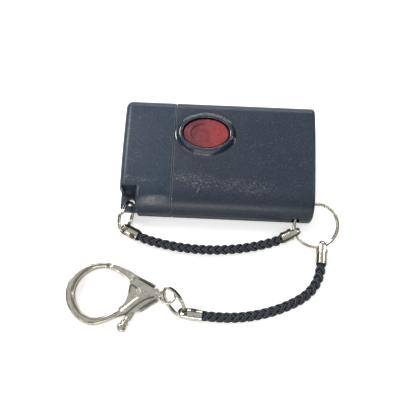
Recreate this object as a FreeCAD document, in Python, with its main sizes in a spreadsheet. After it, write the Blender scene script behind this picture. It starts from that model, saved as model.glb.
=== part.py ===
import FreeCAD, Part
import math
import os
import Sketcher

os.makedirs("parts", exist_ok=True)

# Keyring alarm remote: a two-shell housing with a screwed end cap, a guarded red
# alarm button, and a lanyard of split rings, crimped ferrules, two braided cords
# and a trigger clasp on a swivel. It lies on its back with the button up.
# X runs along the housing towards the ring corner, Y across it, Z up.
# The origin is under the housing's centre, on the surface it lies on.

doc = FreeCAD.newDocument("alarm_remote")
dims = doc.addObject("Spreadsheet::Sheet", "dims")

# Driving dimensions in millimetres and degrees, one cell for each.
SIZES = {
    # housing form
    "body_length": 67.0,
    "body_width": 40.2,
    "body_height": 15.0,
    "wall": 1.6,
    "crown_radius": 140.0,
    "crown_centre": 2.0,
    "upper_shoulder": 3.5,
    "lower_shoulder": 8.0,
    "rear_corner": 4.0,
    "parting_height": 7.5,
    "parting_groove": 0.3,
    "end_round": 1.1,
    # end cap and its joint with the housing
    "cap_length": 17.9,
    "cap_round": 2.2,
    "seam_gap": 0.3,
    "spigot_length": 4.0,
    "spigot_wall": 1.1,
    "spigot_clearance": 0.15,
    "spigot_rib": 1.6,
    "rib_bite": 0.5,
    # notch and lug in the cap's corner
    "notch_side": 0.9,
    "notch_width": 5.0,
    "notch_depth": 8.0,
    "notch_wall": 1.4,
    "notch_round": 0.35,
    "lug_depth": 7.1,
    "lug_setback": 0.7,
    "lug_base": 4.4,
    "lug_top": 6.6,
    "lug_hole": 2.8,
    "lug_hole_inset": 3.45,
    "lug_hole_edge": 4.0,
    "well_floor": 2.4,
    # ring post in the housing's corner
    "post_inset": 0.4,
    "post_radius": 4.1,
    "channel_width": 2.5,
    "guard_wall": 1.2,
    "side_window_base": 3.6,
    "end_window_base": 6.1,
    "end_window_top": 9.7,
    # button and its collar
    "button_from_seam": 10.95,
    "button_y": 7.15,
    "button_long": 15.9,
    "button_wide": 10.8,
    "button_gap": 0.3,
    "button_top": 16.2,
    "button_round": 0.35,
    "button_dish": 0.35,
    "button_step_long": 2.5,
    "button_step_wide": 1.6,
    "button_travel": 0.5,
    "flange_margin": 0.9,
    "flange_thick": 0.9,
    "flange_drop": 0.6,
    "collar_height": 1.8,
    "collar_rim": 1.0,
    "collar_flare": 1.1,
    "collar_root": 0.9,
    "collar_round": 0.3,
    "collar_foot_round": 0.5,
    # circuit board and what it carries
    "board_base": 6.7,
    "board_thick": 1.2,
    "board_from_end": 3.6,
    "board_width": 21.4,
    "board_from_seam": 2.0,
    "board_edge": -4.6,
    "switch_side": 6.2,
    "switch_body": 3.3,
    "plunger_radius": 1.7,
    "plunger_bore_gap": 0.15,
    "plunger_gap": 0.05,
    "plunger_foot": 0.4,
    "chip_length": 8.7,
    "chip_width": 3.9,
    "chip_height": 1.5,
    "chip_from_end": 17.4,
    "chip_y": 1.0,
    "can_length": 12.0,
    "can_width": 8.0,
    "can_height": 2.3,
    "can_from_end": 15.9,
    "can_y": 10.2,
    "crystal_length": 10.6,
    "crystal_width": 4.4,
    "crystal_height": 3.2,
    "crystal_from_end": 6.9,
    "crystal_y": 3.0,
    "antenna_strip": 0.6,
    "antenna_height": 3.0,
    "antenna_margin": 1.0,
    "antenna_length": 15.0,
    "antenna_leg": 1.2,
    # cell and its contacts
    "cell_radius": 3.95,
    "cell_length": 27.6,
    "cell_lead": 8.0,
    "cell_y": -11.0,
    "cell_z": 7.4,
    "cell_nub_radius": 1.9,
    "cell_nub": 0.8,
    "cell_gap": 0.15,
    "contact_thick": 0.4,
    "contact_width": 7.0,
    "contact_top": 11.0,
    "coil_radius": 2.2,
    "coil_wire": 0.5,
    "coil_turns": 2.5,
    "coil_length": 3.0,
    "cradle_thick": 1.2,
    "cradle_gap": 0.15,
    # screws
    "boss_radius": 2.5,
    "screw_radius": 0.85,
    "screw_gap": 0.1,
    "head_radius": 1.6,
    "head_height": 1.1,
    "head_sink": 2.4,
    "head_gap": 0.25,
    "screw_tip": 11.8,
    "screw_roof": 0.5,
    "slot_width": 0.5,
    "slot_reach": 1.12,
    "slot_depth": 0.45,
    "screw_a_from_end": 6.4,
    "screw_a_y": 13.4,
    "screw_b_from_seam": 32.0,
    "screw_b_y": -13.0,
    "screw_c_from_seam": 5.0,
    "screw_c_y": -2.2,
    "cap_screw_lead": 2.7,
    "cap_screw_y": 4.0,
    "cap_screw_tip": 5.9,
    "cap_boss_top": 6.4,
    "cap_head_sink": 0.25,
    # split rings
    "body_ring_radius": 8.1,
    "body_ring_radial": 1.1,
    "body_ring_axial": 0.68,
    "body_ring_out": 1.55,
    "body_ring_down": 1.15,
    "body_ring_z": 4.95,
    "body_ring_tilt": 22.0,
    "body_ring_split": 70.0,
    "cap_ring_radius": 5.5,
    "cap_ring_radial": 0.9,
    "cap_ring_axial": 0.6,
    "cap_ring_z": 5.62,
    "cap_ring_turn": 105.0,
    "cap_ring_lean": 11.0,
    "cap_ring_split": 80.0,
    "ring_slit": 0.05,
    "ring_chamfer": 0.18,
    # cords and ferrules
    "cord_diameter": 3.7,
    "strap_cap_angle": -39.8,
    "strap_cap_heading": -24.4,
    "strap_cap_dip": 3.0,
    "strap_cap_run": 3.2,
    "strap_ring_angle": -160.0,
    "strap_ring_heading": 27.0,
    "strap_ring_rise": 10.0,
    "strap_ring_run": 3.0,
    "strap_sag": 3.7,
    "tether_ring_angle": -70.0,
    "tether_ring_heading": -93.0,
    "tether_ring_dip": 1.5,
    "tether_ring_run": 3.4,
    "ferrule_radius": 2.1,
    "ferrule_bore": 3.76,
    "strap_ferrule_length": 5.0,
    "tether_ferrule_length": 6.2,
    "ferrule_socket": 1.2,
    "ferrule_shoulder": 1.9,
    "eye_radius": 2.0,
    "eye_hole": 1.12,
    "eye_thick": 2.0,
    "link_eye_thick": 1.9,
    "crimp_start": 2.3,
    "crimp_length": 2.0,
    "crimp_width": 1.9,
    "crimp_depth": 0.25,
    # oval link
    "link_half_length": 5.32,
    "link_half_width": 3.17,
    "link_radial": 0.8,
    "link_axial": 1.05,
    "link_groove": 0.08,
    "link_groove_depth": 0.25,
    "link_back": 47.98,
    "link_down": 28.40,
    "link_z": 3.2,
    "link_heading": -55.1,
    "link_pitch": 12.8,
    "link_tilt": 45.8,
    # trigger clasp and swivel
    "clasp_back": 50.35,
    "clasp_down": 26.25,
    "clasp_z": 2.3,
    "hook_thick": 3.3,
    "cheek_thick": 4.4,
    "cheek_round": 0.5,
    "hook_round": 0.75,
    "slot_thick": 2.1,
    "gate_thick": 1.7,
    "gate_arm_thick": 3.0,
    "gate_clearance": 0.2,
    "pivot_u": 8.6,
    "pivot_w": 0.2,
    "pin_radius": 0.6,
    "pin_seat_gap": 0.02,
    "pin_run_gap": 0.06,
    "heel_radius": 2.2,
    "nose_radius": 5.95,
    "arm_half_width": 1.1,
    "arm_radius": 1.05,
    "arm_end_radius": 0.9,
    "arm_root": -41.0,
    "heel_from": 215.0,
    "heel_to": -25.0,
    "slot_from": -165.0,
    "slot_to": 4.0,
    "knob_radius": 1.75,
    "knob_reach": 12.95,
    "knob_bar": 2.2,
    "knob_angle": 60.9,
    "knob_collar_radius": 1.45,
    "knob_collar": 0.7,
    "gate_swing": 25.0,
    "spring_wire": 0.4,
    "spring_gap": 0.15,
    "spring_start": 132.0,
    "spring_end": 204.0,
    "swivel_radius": 2.55,
    "swivel_wire": 0.48,
    "shank_radius": 0.8,
    "shank_gap": 0.07,
    "neck_face": 3.25,
    "neck_half": 2.1,
    "neck_wall": 1.2,
    "head_thick": 0.6,
    "rivet_radius": 1.2,
    "rivet_gap": 0.12,
}

for row, (alias, number) in enumerate(SIZES.items(), start=1):
    dims.set(f"A{row}", alias)
    dims.set(f"B{row}", str(number))
    dims.setAlias(f"B{row}", alias)
doc.recompute()


def size(alias):
    """The number that the sheet holds under an alias."""
    return float(dims.get(alias))


# Places that several pieces share, as expressions of the driving dimensions.
SEAM = "(dims.cap_length - dims.body_length / 2)"
RIGHT_END = "(dims.body_length / 2)"
LEFT_END = "(-dims.body_length / 2)"
LOWER_SIDE = "(-dims.body_width / 2)"
BUTTON_X = f"({SEAM} + dims.button_from_seam)"
BOARD_START = f"({SEAM} + dims.board_from_seam)"
BOARD_END = f"({RIGHT_END} - dims.board_from_end)"
CELL_START = f"({SEAM} - dims.cell_lead)"
CAP_SCREW_X = f"({SEAM} - dims.cap_screw_lead)"
FACE_BACK = "(dims.body_height - dims.wall)"
BOARD_TOP = "(dims.board_base + dims.board_thick)"
SPIGOT_OUT = "(dims.wall + dims.spigot_clearance)"
SPIGOT_IN = f"({SPIGOT_OUT} + dims.spigot_wall)"
FLANGE_TOP = f"({FACE_BACK} - dims.flange_drop)"
FLANGE_BASE = f"({FLANGE_TOP} - dims.flange_thick)"
SWITCH_TOP = f"({BOARD_TOP} + dims.switch_body)"
RIM_TOP = "(dims.body_height + dims.collar_height)"
POST_X = f"({RIGHT_END} - dims.post_inset)"
POST_Y = f"({LOWER_SIDE} + dims.post_inset)"
CHANNEL_OUT = "(dims.post_radius + dims.channel_width)"
NOTCH_X = f"({LEFT_END} + dims.notch_side)"
OVER = 1.0


def place(thing, x="0", y="0", z="0"):
    """Bind an object's position to three expressions."""
    for axis, text in zip("xyz", (x, y, z)):
        thing.setExpression(f"Placement.Base.{axis}", text)
    return thing


def box(name, low, span):
    """A box from its low corner and its spans, all expressions."""
    thing = doc.addObject("Part::Box", name)
    for prop, text in zip(("Length", "Width", "Height"), span):
        thing.setExpression(prop, text)
    return place(thing, *low)


def cylinder(name, radius, height, centre):
    """An upright cylinder on a centre point."""
    thing = doc.addObject("Part::Cylinder", name)
    thing.setExpression("Radius", radius)
    thing.setExpression("Height", height)
    return place(thing, *centre)


def lying_cylinder(name, radius, height, start):
    """A cylinder along X from a start point."""
    thing = cylinder(name, radius, height, start)
    thing.Placement.Rotation = FreeCAD.Rotation(FreeCAD.Vector(0, 1, 0), 90)
    return thing


def oval(name, long_half, wide_half, height):
    """A flat ellipse about the button's axis at a height."""
    edge = doc.addObject("Part::Ellipse", name)
    edge.setExpression("MajorRadius", long_half)
    edge.setExpression("MinorRadius", wide_half)
    return place(edge, BUTTON_X, "dims.button_y", height)


def oval_loft(name, lower, upper):
    """A solid between two flat ellipses, each a (long, wide, height) triple."""
    loft = doc.addObject("Part::Loft", name)
    loft.Sections = [oval(name + "_low", *lower), oval(name + "_high", *upper)]
    loft.Solid = True
    loft.Ruled = True
    return loft


def cut(name, base, *tools):
    """The base less all the tools."""
    tool = tools[0] if len(tools) == 1 else fuse(name + "_tools", *tools)
    thing = doc.addObject("Part::Cut", name)
    thing.Base = base
    thing.Tool = tool
    return thing


def fuse(name, *things):
    """All the things as one."""
    whole = doc.addObject("Part::MultiFuse", name)
    whole.Shapes = list(things)
    return whole


def common(name, one, other):
    """What two things share."""
    thing = doc.addObject("Part::Common", name)
    thing.Base = one
    thing.Tool = other
    return thing


def origin_plane(body, role):
    """A body's own origin plane with the given role."""
    return next(item for item in body.Origin.OriginFeatures if item.Role == role)


def section_outline(sketch, inset):
    """Draw the housing's section, moved inwards by an inset expression.

    Rear flat, two rear corners, two sides, a small upper and a large lower
    shoulder, and a slightly crowned face, all tangent to each other.
    """
    half = size("body_width") / 2
    rear = size("rear_corner")
    crown = size("crown_radius")
    crown_y = size("crown_centre")
    crown_z = size("body_height") - crown

    def shoulder(side, radius):
        """Centre of a shoulder and where it meets the crown."""
        centre_y = side * (half - radius)
        reach = math.sqrt((crown - radius) ** 2 - (centre_y - crown_y) ** 2)
        centre_z = crown_z + reach
        angle = math.atan2(reach, centre_y - crown_y)
        return centre_y, centre_z, angle

    up_y, up_z, up_angle = shoulder(1, size("upper_shoulder"))
    low_y, low_z, low_angle = shoulder(-1, size("lower_shoulder"))
    quarter = math.pi / 2

    def line(y1, z1, y2, z2):
        """A straight side of the section."""
        return sketch.addGeometry(
            Part.LineSegment(FreeCAD.Vector(y1, z1, 0), FreeCAD.Vector(y2, z2, 0)), False)

    def arc(y, z, radius, start, end):
        """A round stretch of the section."""
        circle = Part.Circle(FreeCAD.Vector(y, z, 0), FreeCAD.Vector(0, 0, 1), radius)
        return sketch.addGeometry(Part.ArcOfCircle(circle, start, end), False)

    pieces = [
        line(-half + rear, 0, half - rear, 0),
        arc(half - rear, rear, rear, -quarter, 0),
        line(half, rear, half, up_z),
        arc(up_y, up_z, size("upper_shoulder"), 0, up_angle),
        arc(crown_y, crown_z, crown, up_angle, low_angle),
        arc(low_y, low_z, size("lower_shoulder"), low_angle, 2 * quarter),
        line(-half, low_z, -half, rear),
        arc(-half + rear, rear, rear, 2 * quarter, 3 * quarter),
    ]
    for this, following in zip(pieces, pieces[1:] + pieces[:1]):
        sketch.addConstraint(Sketcher.Constraint("Tangent", this, 2, following, 1))
    sketch.addConstraint(Sketcher.Constraint("Horizontal", pieces[0]))
    sketch.addConstraint(Sketcher.Constraint("Vertical", pieces[2]))
    sketch.addConstraint(Sketcher.Constraint("Vertical", pieces[6]))
    origin = (-1, 1)
    driven = [
        (("DistanceY", *origin, pieces[0], 1), 0.0, f"{inset}"),
        (("DistanceX", *origin, pieces[2], 1), half, f"dims.body_width / 2 - ({inset})"),
        (("DistanceX", pieces[6], 1, *origin), half, f"dims.body_width / 2 - ({inset})"),
        (("Radius", pieces[1]), rear, f"dims.rear_corner - ({inset})"),
        (("Radius", pieces[7]), rear, f"dims.rear_corner - ({inset})"),
        (("Radius", pieces[3]), size("upper_shoulder"), f"dims.upper_shoulder - ({inset})"),
        (("Radius", pieces[5]), size("lower_shoulder"), f"dims.lower_shoulder - ({inset})"),
        (("Radius", pieces[4]), crown, f"dims.crown_radius - ({inset})"),
        (("DistanceX", *origin, pieces[4], 3), crown_y, "dims.crown_centre"),
        (("DistanceY", pieces[4], 3, *origin), -crown_z, "dims.crown_radius - dims.body_height"),
    ]
    for what, value, text in driven:
        index = sketch.addConstraint(Sketcher.Constraint(*what, value))
        sketch.setExpression(f"Constraints[{index}]", text)


def section_prism(name, inset, start, length):
    """The section as a body, from a start along X over a length."""
    body = doc.addObject("PartDesign::Body", name)
    sketch = body.newObject("Sketcher::SketchObject", name + "_section")
    sketch.AttachmentSupport = [(origin_plane(body, "YZ_Plane"), "")]
    sketch.MapMode = "FlatFace"
    sketch.setExpression("AttachmentOffset.Base.z", start)
    section_outline(sketch, inset)
    pad = body.newObject("PartDesign::Pad", name + "_pad")
    pad.Profile = sketch
    pad.setExpression("Length", length)
    sketch.Visibility = False
    doc.recompute()
    return body


def round_end(body, side, radius):
    """Round the edges of a prism's end face; side is +1 or -1 along X."""
    pad = body.Tip
    faces = pad.Shape.Faces
    far = max(range(len(faces)), key=lambda i: side * faces[i].CenterOfMass.x)
    fillet = body.newObject("PartDesign::Fillet", body.Name + "_round")
    fillet.Base = (pad, [f"Face{far + 1}"])
    fillet.setExpression("Radius", radius)
    body.Tip = fillet
    doc.recompute()


def screw(name, x, y, head_base, tip):
    """A pan-head screw, head down, with a cross slot in the head."""
    head = cylinder(name + "_head", "dims.head_radius", "dims.head_height", (x, y, head_base))
    shank = cylinder(name + "_shank", "dims.screw_radius", f"{tip} - {head_base}", (x, y, head_base))
    across, deep = "dims.slot_width", f"{head_base} - dims.slot_depth"
    slots = [
        box(name + "_slot_x", (f"{x} - dims.slot_reach", f"{y} - {across} / 2", deep),
            ("2 * dims.slot_reach", across, "2 * dims.slot_depth")),
        box(name + "_slot_y", (f"{x} - {across} / 2", f"{y} - dims.slot_reach", deep),
            (across, "2 * dims.slot_reach", "2 * dims.slot_depth")),
    ]
    return cut(name, fuse(name + "_blank", head, shank), *slots)


def edges_where(shape, chosen):
    """Numbers of the edges of which every sampled point is chosen."""
    samples = 12
    numbers = []
    for number, edge in enumerate(shape.Edges, start=1):
        span = edge.LastParameter - edge.FirstParameter
        points = [edge.valueAt(edge.FirstParameter + span * step / samples) for step in range(samples + 1)]
        if all(chosen(point) for point in points):
            numbers.append(number)
    return numbers


def rounded_edges(name, base, radius, chosen):
    """The base with its chosen edges rounded."""
    doc.recompute()
    thing = doc.addObject("Part::Fillet", name)
    thing.Base = base
    thing.Edges = [(number, size(radius), size(radius)) for number in edges_where(base.Shape, chosen)]
    return thing


SUBPARTS = []


def subpart(thing, label):
    """Name a finished piece, which is then written to its own file."""
    thing.Label = label
    SUBPARTS.append(thing)
    return thing


# Housing: one hollow form, parted into a front and a rear shell.
HALF_GAP = "dims.seam_gap / 2"
housing_start = f"{SEAM} + {HALF_GAP}"
housing_form = section_prism("housing_form", "0", housing_start, f"{RIGHT_END} - ({housing_start})")
round_end(housing_form, 1, "dims.end_round")
housing_room = section_prism(
    "housing_room", "dims.wall", f"{SEAM} - {OVER}", f"{RIGHT_END} - dims.wall - {SEAM} + {OVER}")
housing_skin = cut("housing_skin", housing_form, housing_room)

rib_outer = section_prism("rib_outer", "dims.wall - dims.rib_bite", housing_start, "dims.spigot_rib")
rib_hole = section_prism(
    "rib_hole", SPIGOT_IN, f"{SEAM} - dims.spigot_length - {OVER}",
    f"dims.spigot_length + dims.spigot_rib + 3 * {OVER}")
spigot_outer = section_prism(
    "spigot_outer", SPIGOT_OUT, f"{SEAM} - dims.spigot_length",
    f"dims.spigot_length + {HALF_GAP} + dims.spigot_rib")
spigot = cut("spigot", fuse("spigot_blank", rib_outer, spigot_outer), rib_hole)

TALL = f"dims.body_height + 2 * {OVER}"
BELOW = f"-{OVER}"


def upright(name, radius, x, y, base=BELOW, height=TALL):
    """A cylinder through the housing's whole height unless told otherwise."""
    return cylinder(name, radius, height, (x, y, base))


guard_ring = cut(
    "guard_ring",
    upright("guard_outer", f"{CHANNEL_OUT} + dims.guard_wall", POST_X, POST_Y),
    upright("guard_inner", CHANNEL_OUT, POST_X, POST_Y))
ring_post = upright("ring_post", "dims.post_radius", POST_X, POST_Y)

SCREWS = {
    "a": (f"{RIGHT_END} - dims.screw_a_from_end", "dims.screw_a_y", "dims.board_base", BOARD_TOP),
    "b": (f"{SEAM} + dims.screw_b_from_seam", "dims.screw_b_y", "dims.parting_height", "dims.parting_height"),
    "c": (f"{SEAM} + dims.screw_c_from_seam", "dims.screw_c_y", "dims.board_base", BOARD_TOP),
}
bosses = []
for key, (x, y, low_top, high_base) in SCREWS.items():
    bosses.append(upright(f"boss_{key}_low", "dims.boss_radius", x, y, "dims.wall / 2",
                          f"{low_top} - dims.wall / 2"))
    bosses.append(upright(f"boss_{key}_high", "dims.boss_radius", x, y, high_base, f"{TALL} - {high_base}"))
inner_works = common(
    "inner_works", fuse("inner_blank", guard_ring, ring_post, *bosses), housing_form)
collar_cone = oval_loft(
    "collar_cone",
    ("dims.button_long / 2 + dims.button_gap + dims.collar_rim + dims.collar_flare"
     " * (1 + dims.collar_root / dims.collar_height)",
     "dims.button_wide / 2 + dims.button_gap + dims.collar_rim + dims.collar_flare"
     " * (1 + dims.collar_root / dims.collar_height)",
     "dims.body_height - dims.collar_root"),
    ("dims.button_long / 2 + dims.button_gap + dims.collar_rim",
     "dims.button_wide / 2 + dims.button_gap + dims.collar_rim", RIM_TOP))
collar_room = box(
    "collar_room", (housing_start, LOWER_SIDE, "dims.parting_height"),
    ("dims.body_length", "dims.body_width", "dims.body_height"))
collar = common("collar", collar_cone, collar_room)
housing_solid = fuse("housing_solid", housing_skin, inner_works, spigot, collar)

side_window = box(
    "side_window", (f"{POST_X} - {CHANNEL_OUT}", f"{LOWER_SIDE} - {OVER}", "dims.side_window_base"),
    ("dims.channel_width", f"dims.wall + dims.post_inset + {OVER}",
     "dims.parting_height - dims.side_window_base"))
end_window = box(
    "end_window",
    (f"{RIGHT_END} - dims.wall - {OVER}", f"{POST_Y} + dims.post_radius", "dims.end_window_base"),
    (f"dims.wall + 2 * {OVER}", "dims.channel_width", "dims.end_window_top - dims.end_window_base"))
HOLE_HALVES = ("dims.button_long / 2 + dims.button_gap", "dims.button_wide / 2 + dims.button_gap")
button_hole = oval_loft(
    "button_hole", (*HOLE_HALVES, f"{FLANGE_BASE} - {OVER}"), (*HOLE_HALVES, f"{RIM_TOP} + {OVER}"))
groove_core = section_prism(
    "groove_core", "dims.parting_groove", f"{SEAM} - {OVER}",
    f"dims.body_length - dims.cap_length + {OVER} - dims.parting_groove")
groove_slab = box(
    "groove_slab", (f"{SEAM}", f"{LOWER_SIDE} - {OVER}", "dims.parting_height - dims.parting_groove / 2"),
    (f"dims.body_length", f"dims.body_width + 2 * {OVER}", "dims.parting_groove"))
parting_groove = cut("parting_groove_ring", groove_slab, groove_core)

bores = []
for key, (x, y, low_top, high_base) in SCREWS.items():
    bores.append(upright(f"bore_{key}", "dims.screw_radius + dims.screw_gap", x, y, BELOW,
                         f"dims.screw_tip + dims.screw_roof + {OVER}"))
    bores.append(upright(f"sink_{key}", "dims.head_radius + dims.head_gap", x, y, BELOW,
                         f"dims.head_sink + dims.head_height + {OVER}"))
housing_open = cut(
    "housing_open", housing_solid, side_window, end_window, button_hole, parting_groove, *bores)

SPAN = (f"dims.body_length + 2 * dims.spigot_length", f"dims.body_width + 2 * {OVER}")
low_half = box(
    "low_half", (LEFT_END, f"{LOWER_SIDE} - {OVER}", BELOW), (*SPAN, f"dims.parting_height + {OVER}"))
high_half = box(
    "high_half", (LEFT_END, f"{LOWER_SIDE} - {OVER}", "dims.parting_height"),
    (*SPAN, f"dims.body_height + dims.collar_height"))
front_sharp = cut("front_cut", housing_open, low_half)
NEAR = 0.001
FOOT_BAND = 0.07
rim_top = size("body_height") + size("collar_height")
button_centre = (size("cap_length") - size("body_length") / 2 + size("button_from_seam"), size("button_y"))
foot_grow = size("button_gap") + size("collar_rim") + size("collar_flare")
foot_halves = (size("button_long") / 2 + foot_grow, size("button_wide") / 2 + foot_grow)


def on_collar_foot(point):
    """Whether a point lies where the collar rises from the face."""
    along = (point.x - button_centre[0]) / foot_halves[0]
    across = (point.y - button_centre[1]) / foot_halves[1]
    near_face = abs(point.z - size("body_height")) < size("wall") / 2
    return near_face and abs(math.hypot(along, across) - 1) < FOOT_BAND


def on_collar_rim(point):
    """Whether a point lies at the height of the collar's rim."""
    return abs(point.z - rim_top) < NEAR


front_rim = rounded_edges("front_rim", front_sharp, "collar_round", on_collar_rim)
front_shell = subpart(
    rounded_edges("front_foot", front_rim, "collar_foot_round", on_collar_foot), "front_shell")

# Rear shell: cradles for the cell, and a boss on the spigot for the cap's screw.
cradle_blank = [
    box(f"cradle_{number}", (f"{x}", f"{LOWER_SIDE} + dims.wall / 2", "dims.wall / 2"),
        ("dims.cradle_thick",
         f"dims.cell_y + dims.body_width / 2 - dims.wall / 2 + dims.cell_radius + {OVER}",
         "dims.cell_z - dims.wall / 2"))
    for number, x in enumerate((f"{SEAM} + dims.spigot_rib + dims.boss_radius",
                                f"{CELL_START} + dims.cell_length - 3 * dims.cradle_thick"))]
cell_room = lying_cylinder(
    "cell_room", "dims.cell_radius + dims.cradle_gap", "dims.body_length",
    (CELL_START, "dims.cell_y", "dims.cell_z"))
cradles = common("cradles", cut("cradle_cut", fuse("cradle_pair", *cradle_blank), cell_room), housing_form)
cap_boss = upright("cap_boss", "dims.boss_radius", CAP_SCREW_X, "dims.cap_screw_y",
                   SPIGOT_OUT, f"dims.cap_boss_top - {SPIGOT_OUT}")
cap_bore = upright("cap_bore", "dims.screw_radius + dims.screw_gap", CAP_SCREW_X, "dims.cap_screw_y",
                   BELOW, f"dims.cap_screw_tip + dims.screw_gap + {OVER}")
rear_base = cut("rear_base", housing_open, high_half)
rear_solid = fuse("rear_solid", rear_base, cradles, cap_boss)
rear_shell = subpart(cut("rear_cut", rear_solid, cap_bore), "rear_shell")

# End cap: closed at the left, with a corner notch that leaves a lug with an eye.
cap_stop = f"{SEAM} - {HALF_GAP}"
cap_form = section_prism("cap_form", "0", LEFT_END, f"{cap_stop} - {LEFT_END}")
round_end(cap_form, -1, "dims.cap_round")
cap_room_full = section_prism(
    "cap_room_full", "dims.wall", f"{LEFT_END} + dims.wall", f"{SEAM} - {LEFT_END} + {OVER}")
notch_block = box(
    "notch_block", (f"{LEFT_END} - {OVER}", f"{LOWER_SIDE} - {OVER}", BELOW),
    (f"dims.notch_side + dims.notch_width + dims.notch_wall + {OVER}",
     f"dims.notch_depth + dims.notch_wall + {OVER}", TALL))
cap_room = cut("cap_room", cap_room_full, notch_block)
LUG_BACK = f"({LOWER_SIDE} + dims.lug_depth)"
notch_cuts = [
    box("notch_above", (NOTCH_X, f"{LOWER_SIDE} - {OVER}", "dims.lug_top"),
        ("dims.notch_width", f"dims.notch_depth + {OVER}", TALL)),
    box("notch_well", (NOTCH_X, LUG_BACK, "dims.well_floor"),
        ("dims.notch_width", "dims.notch_depth - dims.lug_depth", TALL)),
    box("notch_below", (NOTCH_X, f"{LOWER_SIDE} - {OVER}", BELOW),
        ("dims.notch_width", f"dims.lug_depth + {OVER}", f"dims.lug_base + {OVER}")),
    box("side_above", (f"{LEFT_END} - {OVER}", f"{LOWER_SIDE} - {OVER}", "dims.lug_top"),
        (f"dims.notch_side + 2 * {OVER}", f"dims.lug_depth + {OVER}", TALL)),
    box("side_below", (f"{LEFT_END} - {OVER}", f"{LOWER_SIDE} - {OVER}", BELOW),
        (f"dims.notch_side + 2 * {OVER}", f"dims.lug_depth + {OVER}", f"dims.lug_base + {OVER}")),
    box("lug_front", (f"{LEFT_END} - {OVER}", f"{LOWER_SIDE} - {OVER}", BELOW),
        (f"dims.notch_side + dims.notch_width + {OVER}", f"dims.lug_setback + {OVER}", TALL)),
]
HOLE_X = f"({LEFT_END} + dims.lug_hole_inset)"
HOLE_Y = f"({LOWER_SIDE} + dims.lug_hole_edge)"
lug_hole = upright("lug_hole", "dims.lug_hole / 2", HOLE_X, HOLE_Y)
cap_screw_bore = upright("cap_screw_bore", "dims.screw_radius + dims.screw_gap", CAP_SCREW_X,
                         "dims.cap_screw_y", BELOW, f"dims.wall + 2 * {OVER}")
cap_sink = upright("cap_sink", "dims.head_radius + dims.head_gap", CAP_SCREW_X, "dims.cap_screw_y",
                   BELOW, f"dims.cap_head_sink + dims.head_height + {OVER}")
cap_sharp = cut(
    "cap_cut", cut("cap_skin", cap_form, cap_room), *notch_cuts, lug_hole, cap_screw_bore, cap_sink)
notch_right = size("notch_side") + size("notch_width") - size("body_length") / 2
notch_back = size("notch_depth") - size("body_width") / 2
lug_top = size("lug_top")


def on_notch_lip(point):
    """Whether a point lies where the notch breaks through the face."""
    at_right = abs(point.x - notch_right) < NEAR and point.y < notch_back + NEAR
    in_width = -NEAR < notch_right - point.x < size("notch_width") + NEAR
    at_back = abs(point.y - notch_back) < NEAR and in_width
    return (at_right or at_back) and point.z > lug_top - NEAR


end_cap = subpart(rounded_edges("cap_lip", cap_sharp, "notch_round", on_notch_lip), "end_cap")

# Screws: three through the rear shell and one through the cap.
screws = [screw(f"screw_{key}", x, y, "dims.head_sink", "dims.screw_tip")
          for key, (x, y, _, _) in SCREWS.items()]
screw_group = doc.addObject("Part::Compound", "screw_group")
screw_group.Links = screws
subpart(screw_group, "housing_screws")
subpart(screw("screw_cap", CAP_SCREW_X, "dims.cap_screw_y", "dims.cap_head_sink", "dims.cap_screw_tip"),
        "cap_screw")

# Button: an oval cap with a dished top and a flange held under the face.
BUTTON_HALVES = ("dims.button_long / 2", "dims.button_wide / 2")
RIM_HALVES = tuple(f"{half} - dims.button_round" for half in BUTTON_HALVES)
DISH_HALVES = (
    "dims.button_long / 2 - dims.button_step_long", "dims.button_wide / 2 - dims.button_step_wide")
FLANGE_HALVES = tuple(f"{half} + dims.flange_margin" for half in BUTTON_HALVES)
CROWN_BASE = "(dims.button_top - dims.button_round)"
button_parts = [
    oval_loft("button_stem", (*BUTTON_HALVES, FLANGE_BASE), (*BUTTON_HALVES, CROWN_BASE)),
    oval_loft("button_crown", (*BUTTON_HALVES, CROWN_BASE), (*RIM_HALVES, "dims.button_top")),
    oval_loft("button_flange", (*FLANGE_HALVES, FLANGE_BASE), (*FLANGE_HALVES, FLANGE_TOP)),
]
button_dish = oval_loft(
    "button_dish",
    (*(f"{half} - dims.button_dish" for half in DISH_HALVES), "dims.button_top - dims.button_dish"),
    (*(f"{half} + dims.button_dish" for half in DISH_HALVES), "dims.button_top + dims.button_dish"))
subpart(cut("button_cut", fuse("button_blank", *button_parts), button_dish), "button_cap")

# Circuit board with the parts soldered to it.
board_blank = box("board_blank", (BOARD_START, "dims.board_edge", "dims.board_base"),
                  (f"{BOARD_END} - {BOARD_START}", "dims.board_width", "dims.board_thick"))
board_holes = [upright(f"board_hole_{key}", "dims.screw_radius + 2 * dims.screw_gap", *SCREWS[key][:2])
               for key in "ac"]
subpart(cut("board_cut", board_blank, *board_holes), "circuit_board")


def board_block(name, x, y, length, width, height):
    """A block centred on a point of the board's upper face."""
    return box(name, (f"{x} - {length} / 2", f"{y} - {width} / 2", BOARD_TOP), (length, width, height))


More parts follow.
